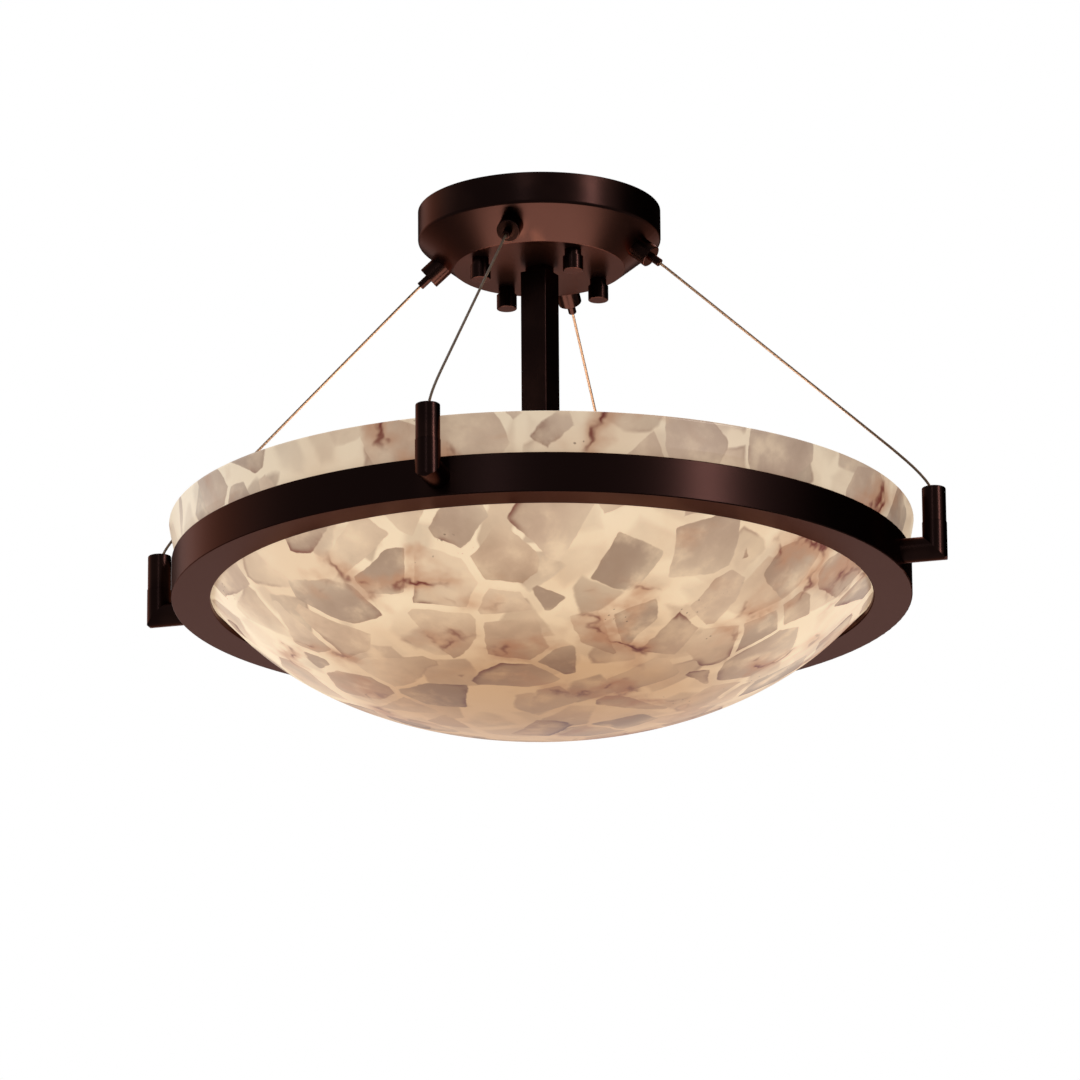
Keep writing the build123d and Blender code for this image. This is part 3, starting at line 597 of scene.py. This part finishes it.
    def _veined(self, graph: Graph, where: Socket, colour: Socket) -> Socket:
        """Lays fine broken rust lines with a stained halo over the stone and the resin.

        Args:
            graph: The material's graph.
            where: The warped point.
            colour: Colour without veins.

        Returns:
            The colour with veins.
        """
        cloud = graph.noise(where, self.scales.rust_line, 5.0)
        ridge = graph.math("ABSOLUTE", graph.math("SUBTRACT", cloud, 0.5))
        patch = graph.step(graph.noise(where, self.scales.rust_patch, 3.0), 0.48, 0.6)
        broken = graph.step(graph.noise(where, self.scales.rust_break, 3.0), 0.38, 0.6)
        halo = graph.product(graph.step(ridge, 0.07, 0.0), patch, self.halo)
        line = graph.product(graph.step(ridge, 0.014, 0.0), patch, broken)
        return graph.blend(line, graph.blend(halo, colour, self.stain), self.vein)

    def _flecks(self, graph: Graph, where: Socket) -> Socket:
        """Finds the small dark grains, few and in clusters.

        Args:
            graph: The material's graph.
            where: The warped point.

        Returns:
            1 on a grain and 0 elsewhere.
        """
        inputs = {"Vector": where, "Scale": self.scales.grain}
        dots = graph.node("ShaderNodeTexVoronoi", inputs, feature="F1").outputs
        dot = graph.step(dots["Distance"], 0.34, 0.16)
        few = graph.math("GREATER_THAN", graph.chances(dots["Color"])["Red"], 0.8)
        cluster = graph.step(graph.noise(where, self.scales.grain_patch, 2.0), 0.66, 0.7)
        return graph.product(dot, few, cluster)

    def _painted_shade(self, graph: Graph) -> Socket:
        """The painted shade at this distance from the axis, for the glow and the base colour.

        Args:
            graph: The material's graph.

        Returns:
            The painted shade's colour.
        """
        flat = graph.vector("MULTIPLY", graph.place(), (1.0, 1.0, 0.0))
        out = graph.math("DIVIDE", graph.vector("LENGTH", flat, output="Value"), self.reach)
        return graph.ramp(out, self.depth)

    def build(self) -> bpy.types.Material:
        """Makes the bowl's material.

        Returns:
            The new material.
        """
        made = Material(self.name)
        graph = made.graph
        where = self._warped(graph)
        haze = graph.step(graph.noise(where, self.scales.haze, 4.0), 0.4, 0.7)
        colour = graph.blend(haze, self.resin, self.resin_shade)
        for layer in self.layers:
            colour = self._laid(graph, where, colour, layer)
        colour = self._veined(graph, where, colour)
        colour = graph.blend(graph.product(self._flecks(graph, where), self.speckle), colour, self.fleck)
        # Painted shade: a darker, warmer bottom and a duller rim, laid into both the glow and the base
        # colour.
        colour = graph.blend(1.0, colour, self._painted_shade(graph), Mix.MULTIPLY)
        made.set(
            Base_Color=graph.blend(1.0, colour, self.daylight, Mix.MULTIPLY),
            Emission_Color=colour,
            Emission_Strength=self.glow,
            Roughness=self.roughness,
            Specular_IOR_Level=self.shine,
        )
        made.bump(graph.noise(where, self.scales.relief, 2.0), strength=0.08, depth=0.6 * MM)
        return made.material


@dataclass(frozen=True)
class LampGlassFinish:
    """Frosted white glass, lit from within.

    Args:
        name: The material's name.
        glass: Main colour.
        bright: Colour of its brighter clouds.
        glow: Strength of its light.
    """

    name: str = "frosted_bulb_glass"
    glass: Colour = srgb(250, 240, 222)
    bright: Colour = srgb(255, 246, 228)
    glow: float = 0.6

    def build(self) -> bpy.types.Material:
        """Makes the bulb's material.

        Returns:
            The new material.
        """
        made = Material(self.name)
        graph = made.graph
        where = graph.place()
        grain = graph.noise(where, 900.0, 2.0)
        cloud = graph.step(graph.noise(where, 35.0, 2.0), 0.3, 0.7)
        colour = graph.blend(cloud, self.glass, self.bright)
        made.set(
            Base_Color=colour,
            Roughness=graph.span(grain, 0.42, 0.55),
            Emission_Color=colour,
            Emission_Strength=self.glow,
        )
        made.bump(grain, strength=0.1, depth=0.1 * MM)
        return made.material


def coated_finishes() -> list[CoatedFinish]:
    """Lists the painted, plated and moulded finishes of the light.

    Returns:
        The finishes, bronze first.
    """
    # The bronze's lighter edge colour is slight wear and also a painted highlight along its edges.
    bronze = {"base": srgb(17, 9, 8), "edge_wear_and_highlight": srgb(44, 27, 22), "edge_tint": (0.74, 0.56, 0.53)}
    bronze |= {"metallic": 1.0, "spread": 0.04}
    wire = {"roughness": 0.35, "spread": 0.1, "edge_wear_and_highlight_share": 0.1, "clouds": 0.1}
    return [
        CoatedFinish("dark_bronze", roughness=0.3, edge_wear_and_highlight_share=0.2, clouds=0.12, grain_scale=1600.0, **bronze),
        CoatedFinish(
            "dark_bronze_fitting", roughness=0.26, edge_wear_and_highlight_share=0.25, clouds=0.1, grain_scale=2200.0, **bronze
        ),
        CoatedFinish(
            "plated_steel", srgb(182, 180, 174), srgb(206, 204, 198), 1.0, roughness=0.32, spread=0.12
        ),
        CoatedFinish("cable_steel", srgb(86, 72, 60), srgb(142, 124, 104), 1.0, roughness=0.45, clouds=0.3),
        CoatedFinish("brass", srgb(196, 160, 96), srgb(224, 194, 130), 1.0, 0.3, 0.12, edge_wear_and_highlight_share=0.4, clouds=0.3),
        CoatedFinish(
            "screw_cap_metal", srgb(196, 196, 194), srgb(222, 222, 220), 1.0, roughness=0.3, clouds=0.15
        ),
        CoatedFinish(
            "clear_silicone", srgb(224, 222, 214), srgb(238, 236, 230), roughness=0.45, edge_wear_and_highlight_share=0.1, clouds=0.1
        ),
        CoatedFinish(
            "black_insulator", srgb(26, 26, 27), srgb(58, 58, 58), 0.0, 0.42, 0.12, grain_scale=1200.0
        ),
        CoatedFinish("black_wire_coat", srgb(22, 22, 24), srgb(50, 50, 52), **wire),
        CoatedFinish("white_wire_coat", srgb(226, 226, 220), srgb(240, 240, 236), **wire),
        CoatedFinish("orange_connector", srgb(206, 98, 28), srgb(226, 140, 80), edge_wear_and_highlight_share=0.2, clouds=0.15),
        CoatedFinish("green_screw", srgb(44, 124, 62), srgb(150, 160, 130), 1.0, roughness=0.35, edge_wear_and_highlight_share=0.6),
    ]


class Finishes:
    """All materials of the light, made once and given to nodes and pieces by name."""

    def __init__(self) -> None:
        """Builds the shared group and every finish."""
        surface = coated_surface_group()
        self.made = {finish.name: finish.build(surface) for finish in coated_finishes()}
        for finish in (StoneResinFinish(), LampGlassFinish()):
            self.made[finish.name] = finish.build()
        LOG.info("finishes: %d materials", len(self.made))

    def dress(self, thing: bpy.types.Object, name: str) -> None:
        """Gives one object a finish in place of whatever it has."""
        thing.data.materials.clear()
        thing.data.materials.append(self.made[name])


# --- sub-assemblies -------------------------------------------------------------------------------


def link(thing: bpy.types.Object) -> bpy.types.Object:
    """Puts an object into the scene and hands it back."""
    bpy.context.scene.collection.objects.link(thing)
    return thing


@dataclass
class Assembly:
    """A sub-assembly made of carried-over nodes, each with its finish.

    Args:
        finishes: All finishes.
        nodes: The frame's nodes by name.
        title: What the sub-assembly is called in the report.
        dressing: Its nodes and the names of their finishes.
    """

    finishes: Finishes
    nodes: dict[str, bpy.types.Object]
    title: str = ""
    dressing: dict[str, str] = field(default_factory=dict)

    def build(self) -> None:
        """Dresses every node of the sub-assembly and reports it."""
        for node, finish in self.dressing.items():
            self.finishes.dress(self.nodes[node], finish)
        LOG.info("%s: %d nodes dressed", self.title, len(self.dressing))


def numbered(stem: str, count: int) -> list[str]:
    """The names stem_1 to stem_count."""
    return [f"{stem}_{number + 1}" for number in range(count)]


@dataclass
class Canopy(Assembly):
    """Ceiling canopy, its plate, studs, nuts, screw, knobs and leads."""

    title: str = "canopy"

    def __post_init__(self) -> None:
        """Lists the canopy's nodes with their finishes."""
        self.dressing = {
            "canopy": "dark_bronze",
            "mounting_plate": "plated_steel",
            "canopy_studs": "plated_steel",
            "stud_nuts": "plated_steel",
            "ground_screw": "green_screw",
            "live_wire": "black_wire_coat",
            "neutral_wire": "white_wire_coat",
            "wire_nuts": "orange_connector",
        }
        self.dressing |= {name: "dark_bronze_fitting" for name in numbered("knob", ARM_COUNT)}


@dataclass
class Grippers(Assembly):
    """Cable grippers with their release nozzles."""

    title: str = "cable grippers"

    def __post_init__(self) -> None:
        """Lists the grippers' nodes with their finishes."""
        self.dressing = {
            "gripper_saddles": "plated_steel",
            "gripper_nuts": "plated_steel",
            "gripper_springs": "plated_steel",
            "gripper_bushes": "dark_bronze_fitting",
        }
        names = numbered("gripper_body", ARM_COUNT) + numbered("gripper_plunger", ARM_COUNT)
        self.dressing |= {name: "dark_bronze_fitting" for name in names}


@dataclass
class Ring(Assembly):
    """The ring that holds the bowl, its posts, caps, screws and pads."""

    title: str = "ring and posts"

    def __post_init__(self) -> None:
        """Lists the ring's nodes with their finishes."""
        self.dressing = {
            "ring": "dark_bronze",
            "arm_screws": "dark_bronze_fitting",
            "bowl_pads": "clear_silicone",
            "cable_stops": "plated_steel",
        }
        names = numbered("post", ARM_COUNT) + numbered("post_cap", ARM_COUNT)
        self.dressing |= {name: "dark_bronze_fitting" for name in names}


@dataclass
class Stem(Assembly):
    """The square stem with its plugs and nipples."""

    title: str = "stem"

    def __post_init__(self) -> None:
        """Lists the stem's nodes with their finishes."""
        self.dressing = {
            "stem": "dark_bronze",
            "stem_plugs": "dark_bronze_fitting",
            "stem_top_nipple": "plated_steel",
            "stem_bottom_nipple": "plated_steel",
            "stem_lock_nut": "plated_steel",
        }


@dataclass
class Lamps(Assembly):
    """The hub with its lampholders and bulbs."""

    title: str = "lamp cluster"

    def __post_init__(self) -> None:
        """Lists the lamp cluster's nodes with their finishes."""
        self.dressing = {
            "lamp_hub": "dark_bronze",
            "hub_cover": "dark_bronze",
            "hub_nut": "dark_bronze_fitting",
            "socket_shells": "brass",
            "socket_contacts": "brass",
        }
        self.dressing |= {name: "black_insulator" for name in numbered("lampholder", LAMP_COUNT)}
        self.dressing |= {name: "frosted_bulb_glass" for name in numbered("bulb", LAMP_COUNT)}
        self.dressing |= {name: "screw_cap_metal" for name in numbered("bulb_cap", LAMP_COUNT)}


@dataclass
class Bowl(Assembly):
    """The bowl of stone pieces cast in resin."""

    title: str = "bowl"

    def __post_init__(self) -> None:
        """Lists the bowl's node with its finish."""
        self.dressing = {"bowl": "stone_and_resin"}


@dataclass
class Cables(Assembly):
    """Four taut steel cables, each a core and six strands laid round it.

    Args:
        diameter: Over the strands, metres.
        lay_length: Length in which a strand goes once round the core, metres.
        strand_count: Strands round the core.
        strand_sides: Sides of a strand's section.
        steps_per_lay: Sections in one lay length.
        curve_steps: Points between two control points of the smooth line.
        route: Control points along +X, as distance from the light's axis and height in metres:
            the tail, the kink at the gripper, the long run, the bends and the stop in the post.
    """

    title: str = "suspension cables"
    diameter: float = 1.8 * MM
    lay_length: float = 10.0 * MM
    strand_count: int = 6
    strand_sides: int = 6
    steps_per_lay: int = 8
    curve_steps: int = 24
    route: tuple[tuple[float, float], ...] = (
        (0.05272, -0.02002),
        (0.07888, -0.04205),
        (0.08549, -0.04816),
        (0.2128, -0.16616),
        (0.226, -0.1784),
        (0.2395, -0.192),
        (0.2487, -0.2048),
        (0.2487, -0.215),
    )

    def centre_line(self) -> list[Vector]:
        """The smooth line of the cable along +X, sampled from its control points.

        Returns:
            Points along the line, in metres.
        """
        curve = bpy.data.curves.new("cable_line", "CURVE")
        curve.dimensions = "3D"
        spline = curve.splines.new("NURBS")
        spline.points.add(len(self.route) - 1)
        for point, (out, height) in zip(spline.points, self.route):
            point.co = (out, 0.0, height, 1.0)
        spline.order_u = 3
        spline.use_endpoint_u = True
        spline.resolution_u = self.curve_steps
        holder = bpy.data.objects.new("cable_line", curve)
        mesh = bpy.data.meshes.new_from_object(holder)
        points = [vertex.co.copy() for vertex in mesh.vertices]
        bpy.data.objects.remove(holder)
        bpy.data.curves.remove(curve)
        bpy.data.meshes.remove(mesh)
        return points

    def spaced(self, points: list[Vector], gap: float) -> list[Vector]:
        """The same line with points a fixed distance apart.

        Args:
            points: The line's points.
            gap: Distance between the new points.

        Returns:
            The new points, the last one at the line's end.
        """
        placed = [points[0].copy()]
        left = gap
        for start, end in zip(points, points[1:]):
            run = (end - start).length
            while run > left:
                start = start + (end - start) * (left / run)
                run = (end - start).length
                placed.append(start.copy())
                left = gap
            left -= run
        placed.append(points[-1].copy())
        return placed

    def tube(self, line: list[Vector], radius: float) -> tuple[list[Vector], list[tuple[int, ...]]]:
        """Shapes a closed round tube along a line in the XZ plane or near it.

        Args:
            line: The tube's middle line.
            radius: The tube's radius.

        Returns:
            The tube's vertices and faces.
        """
        vertices: list[Vector] = []
        faces: list[tuple[int, ...]] = []
        sides = self.strand_sides
        for index, point in enumerate(line):
            ahead = line[min(index + 1, len(line) - 1)] - line[max(index - 1, 0)]
            across = ahead.cross(Vector((0.0, 1.0, 0.0))).normalized()
            level = across.cross(ahead).normalized()
            for side in range(sides):
                turn = math.tau * side / sides
                vertices.append(point + radius * (math.cos(turn) * across + math.sin(turn) * level))
        for ring in range(len(line) - 1):
            for side in range(sides):
                here, there = ring * sides + side, ring * sides + (side + 1) % sides
                faces.append((here, there, there + sides, here + sides))
        last = (len(line) - 1) * sides
        faces.append(tuple(reversed(range(sides))))
        faces.append(tuple(range(last, last + sides)))
        return vertices, faces

    def strand_line(self, core: list[Vector], number: int) -> list[Vector]:
        """Winds one outer strand round the core's line.

        Args:
            core: The core's middle line.
            number: The strand's number, from 0.

        Returns:
            The strand's middle line.
        """
        radius = self.diameter / 3
        level = Vector((0.0, 1.0, 0.0))
        line = []
        travelled = 0.0
        for index, point in enumerate(core):
            ahead = core[min(index + 1, len(core) - 1)] - core[max(index - 1, 0)]
            across = ahead.cross(level).normalized()
            turn = math.tau * (travelled / self.lay_length + number / self.strand_count)
            line.append(point + radius * (math.cos(turn) * across + math.sin(turn) * level))
            if index + 1 < len(core):
                travelled += (core[index + 1] - point).length
        return line

    def mesh(self) -> tuple[bpy.types.Mesh, list[Vector]]:
        """Makes the mesh of the cable along +X.

        Returns:
            The mesh and the line that it follows.
        """
        core = self.spaced(self.centre_line(), self.lay_length / self.steps_per_lay)
        lines = [core] + [self.strand_line(core, number) for number in range(self.strand_count)]
        vertices: list[Vector] = []
        faces: list[tuple[int, ...]] = []
        for line in lines:
            some, more = self.tube(line, self.diameter / 6)
            faces += [tuple(index + len(vertices) for index in face) for face in more]
            vertices += some
        mesh = bpy.data.meshes.new("stranded_cable")
        mesh.from_pydata([tuple(v) for v in vertices], [], faces)
        mesh.shade_smooth()
        return mesh, core

    def build(self) -> None:
        """Makes the four cables, each in place of its plain solid."""
        mesh, core = self.mesh()
        for number in range(ARM_COUNT):
            turn = Matrix.Rotation(math.tau * number / ARM_COUNT, 4, "Z")
            own = mesh.copy()
            own.transform(turn)
            piece = link(bpy.data.objects.new(f"stranded_cable_{number + 1}", own))
            self.finishes.dress(piece, "cable_steel")
            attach(piece, "frame")
            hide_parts(f"cable_{number + 1}")


# --- studio ---------------------------------------------------------------------------------------


class Surfaces(Enum):
    """Surfaces that a light reaches."""

    ALL = "matt and polished surfaces"
    MATT = "matt surfaces"
    POLISHED = "polished surfaces"


@dataclass(frozen=True)
class SoftLight:
    """An area light aimed at the object.

    Args:
        name: The light's name.
        azimuth: Where it stands, degrees from the camera's side, positive to the right.
        elevation: Degrees above the horizon.
        size: Width and height in metres.
        power: Watts.
        colour: Linear colour.
        on: Surfaces that get its light.
        distance: Metres from the object's middle.
    """

    name: str
    azimuth: float
    elevation: float
    size: tuple[float, float]
    power: float
    colour: Colour = (1.0, 1.0, 1.0)
    on: Surfaces = Surfaces.ALL
    distance: float = 2.6


@dataclass
class Studio:
    """Camera, world, floor and lights.

    Args:
        camera_azimuth: The camera's side of the object, degrees from +X.
        camera_distance: Its distance from the object's axis, metres.
        camera_height: Its height, metres.
        camera_pitch: Degrees that it looks up.
        camera_roll: Degrees that it leans.
        camera_side: Metres that it stands to the side.
        focal_share: Focal length as a share of the picture's width.
        sensor: Width of the sensor in millimetres.
        middle: Height of the object's middle, which the lights face, in metres.
        floor_height: Height of the floor, metres.
        floor_reach: Half the floor's width, metres.
        floor_glow: Whiteness added to the floor where it is seen.
        ambient: Strength of the world's light on matt surfaces.
        lights: The soft lights.
        card_reach: Distance of the black card, metres.
        card_span: First and last azimuth of the card, degrees from the camera's side.
        card_rise: Lower and upper elevation of the card, degrees.
        card_steps: Flat pieces round the card.
        glow_height: Height of the light that stands for the lamps, metres.
        glow_radius: Its radius, metres.
        glow_power: Its power, watts.
        glow_colour: Its colour.
    """

    camera_azimuth: float = -74.5
    camera_distance: float = 4.4623
    camera_height: float = -1.572
    camera_pitch: float = 16.92
    camera_roll: float = 0.41
    camera_side: float = -0.00094
    focal_share: float = 7539.85 / 1080
    sensor: float = 36.0
    middle: float = -0.2
    floor_height: float = -2.4
    floor_reach: float = 22.0
    floor_glow: float = 0.55
    ambient: float = 0.42
    lights: tuple[SoftLight, ...] = (
        SoftLight("key_left", -125.0, 30.0, (1.8, 1.8), 24.0, (0.94, 0.97, 1.0), Surfaces.MATT),
        SoftLight("key_right", 100.0, 42.0, (1.6, 1.6), 11.0, (1.0, 0.98, 0.95), Surfaces.MATT),
        SoftLight("strip_right", 50.0, 17.0, (0.36, 1.2), 70.0, (1.0, 0.88, 0.84), Surfaces.POLISHED),
        SoftLight("strip_front", -14.0, 17.0, (0.2, 0.9), 5.0, (0.95, 0.97, 1.0), Surfaces.POLISHED),
        SoftLight("sheen_left", -115.0, 17.0, (2.2, 1.2), 9.0, (0.8, 1.0, 1.05), Surfaces.POLISHED),
        SoftLight("low_left", -112.0, -6.0, (0.7, 0.8), 7.0, (0.45, 0.75, 1.15), Surfaces.MATT),
        SoftLight("top_back", 170.0, 55.0, (1.4, 1.4), 14.0, distance=2.4),
    )
    card_reach: float = 3.0
    card_span: tuple[float, float] = (82.0, 212.0)
    card_rise: tuple[float, float] = (2.0, 48.0)
    card_steps: int = 26
    glow_height: float = -0.188
    glow_radius: float = 0.14
    glow_power: float = 5.4
    glow_colour: Colour = (1.0, 0.78, 0.62)

    def camera(self) -> None:
        """Places the camera at the photograph's viewing angle."""
        data = bpy.data.cameras.new("photo_camera")
        data.sensor_fit = "HORIZONTAL"
        data.sensor_width = self.sensor
        data.lens = self.sensor * self.focal_share
        data.clip_end = 4 * self.floor_reach
        thing = link(bpy.data.objects.new("photo_camera", data))
        turn = Matrix.Rotation(math.radians(self.camera_azimuth + 90.0), 4, "Z")
        place = turn @ Vector((self.camera_side, -self.camera_distance, self.camera_height))
        tilt = Matrix.Rotation(math.radians(90.0 + self.camera_pitch), 4, "X")
        roll = Matrix.Rotation(math.radians(-self.camera_roll), 4, "Z")
        thing.matrix_world = Matrix.Translation(place) @ turn @ tilt @ roll
        bpy.context.scene.camera = thing

    def seen(self, graph: Graph) -> Socket:
        """Tells what is looked at from what only gives light.

        Args:
            graph: The world's or a material's graph.

        Returns:
            1 where the camera, metal or glass looks, and 0 elsewhere.
        """
        path = graph.node("ShaderNodeLightPath").outputs
        straight = graph.math("MAXIMUM", path["Is Camera Ray"], path["Is Glossy Ray"])
        return graph.math("MAXIMUM", straight, path["Is Transmission Ray"])

    def world(self) -> None:
        """A white surround for the camera, metal and glass, and a softer one for matt surfaces."""
        world = bpy.data.worlds.new("studio")
        bpy.context.scene.world = world
        world.use_nodes = True
        graph = Graph(world.node_tree)
        background = world.node_tree.nodes["Background"].inputs
        background["Color"].default_value = (1.0, 1.0, 1.0, 1.0)
        graph.feed(background["Strength"], graph.span(self.seen(graph), self.ambient, 1.0))

    def sheet(self, name: str, corners: list[Vector], across: int) -> tuple[bpy.types.Object, Material]:
        """Adds a piece of the studio made of one row of faces, with an empty material.

        Args:
            name: The piece's name.
            corners: The lower row of corners, then the upper one.
            across: Number of faces.

        Returns:
            The piece and its material.
        """
        row = across + 1
        faces = [(step, step + 1, step + 1 + row, step + row) for step in range(across)]
        mesh = bpy.data.meshes.new(name)
        mesh.from_pydata(corners, [], faces)
        made = Material(name)
        mesh.materials.append(made.material)
        thing = link(bpy.data.objects.new(name, mesh))
        return thing, made

    def floor(self) -> None:
        """A plain pale floor, far below the light, that a view from under it looks through."""
        reach, height = self.floor_reach, self.floor_height
        corners = [Vector((x, y, height)) for y in (-reach, reach) for x in (-reach, reach)]
        _, made = self.sheet("floor", corners, 1)
        graph = made.graph
        under = graph.node("ShaderNodeNewGeometry").outputs["Backfacing"]
        made.set(
            Base_Color=srgb(236, 235, 232),
            Roughness=0.7,
            Emission_Color=(1.0, 1.0, 1.0),
            Emission_Strength=graph.product(self.seen(graph), self.floor_glow),
            Alpha=graph.math("SUBTRACT", 1.0, under),
        )

    def toward(self, azimuth: float, elevation: float) -> Vector:
        """Turns a direction from the object into a vector.

        Args:
            azimuth: Degrees from the camera's side, positive to the right.
            elevation: Degrees above the horizon.

        Returns:
            The direction, of length 1.
        """
        around, rise = math.radians(self.camera_azimuth + azimuth), math.radians(elevation)
        flat = math.cos(rise)
        return Vector((math.cos(around) * flat, math.sin(around) * flat, math.sin(rise)))

    def dark_card(self) -> None:
        """A curved black card behind the light and above its ring, which only polished metal sees."""
        start, end = self.card_span
        turns = [start + (end - start) * step / self.card_steps for step in range(self.card_steps + 1)]
        away = [self.toward(turn, rise) * self.card_reach for rise in self.card_rise for turn in turns]
        corners = [point + Vector((0.0, 0.0, self.middle)) for point in away]
        thing, made = self.sheet("black_card", corners, self.card_steps)
        made.set(Base_Color=srgb(16, 15, 15), Roughness=1.0, Specular_IOR_Level=0.0)
        thing.visible_camera = False
        thing.visible_diffuse = False
        thing.visible_shadow = False

    def area(self, light: SoftLight) -> None:
        """Adds one soft light.

        Args:
            light: The light's place, size and power.
        """
        data = bpy.data.lights.new(light.name, "AREA")
        data.shape = "RECTANGLE"
        data.size, data.size_y = light.size
        data.energy = light.power
        data.color = light.colour
        thing = link(bpy.data.objects.new(light.name, data))
        away = self.toward(light.azimuth, light.elevation)
        thing.location = Vector((0.0, 0.0, self.middle)) + away * light.distance
        thing.rotation_euler = away.to_track_quat("Z", "Y").to_euler()
        thing.visible_camera = False
        thing.visible_diffuse = light.on != Surfaces.POLISHED
        thing.visible_glossy = light.on != Surfaces.MATT

    def lamp_glow(self) -> None:
        """The light that the lamps throw up out of the bowl."""
        data = bpy.data.lights.new("lamp_glow", "AREA")
        data.shape = "DISK"
        data.size = 2 * self.glow_radius
        data.energy = self.glow_power
        data.color = self.glow_colour
        thing = link(bpy.data.objects.new("lamp_glow", data))
        thing.location = (0.0, 0.0, self.glow_height)
        thing.rotation_euler = (math.pi, 0.0, 0.0)
        thing.visible_camera = False

    def build(self) -> None:
        """Sets up the whole studio and reports it."""
        self.camera()
        self.world()
        self.floor()
        self.dark_card()
        for light in self.lights:
            self.area(light)
        self.lamp_glow()
        bpy.context.scene.view_settings.view_transform = "Standard"
        LOG.info("studio: floor, card and %d lights", len(self.lights) + 1)


def main() -> None:
    """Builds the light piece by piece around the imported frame."""
    logging.basicConfig(level=logging.INFO, format="%(message)s")
    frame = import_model()
    Studio().build()
    finishes = Finishes()
    for assembly in (Cables, Canopy, Grippers, Ring, Stem, Lamps, Bowl):
        assembly(finishes=finishes, nodes=frame["nodes"]).build()


if __name__ == "__main__":
    main()
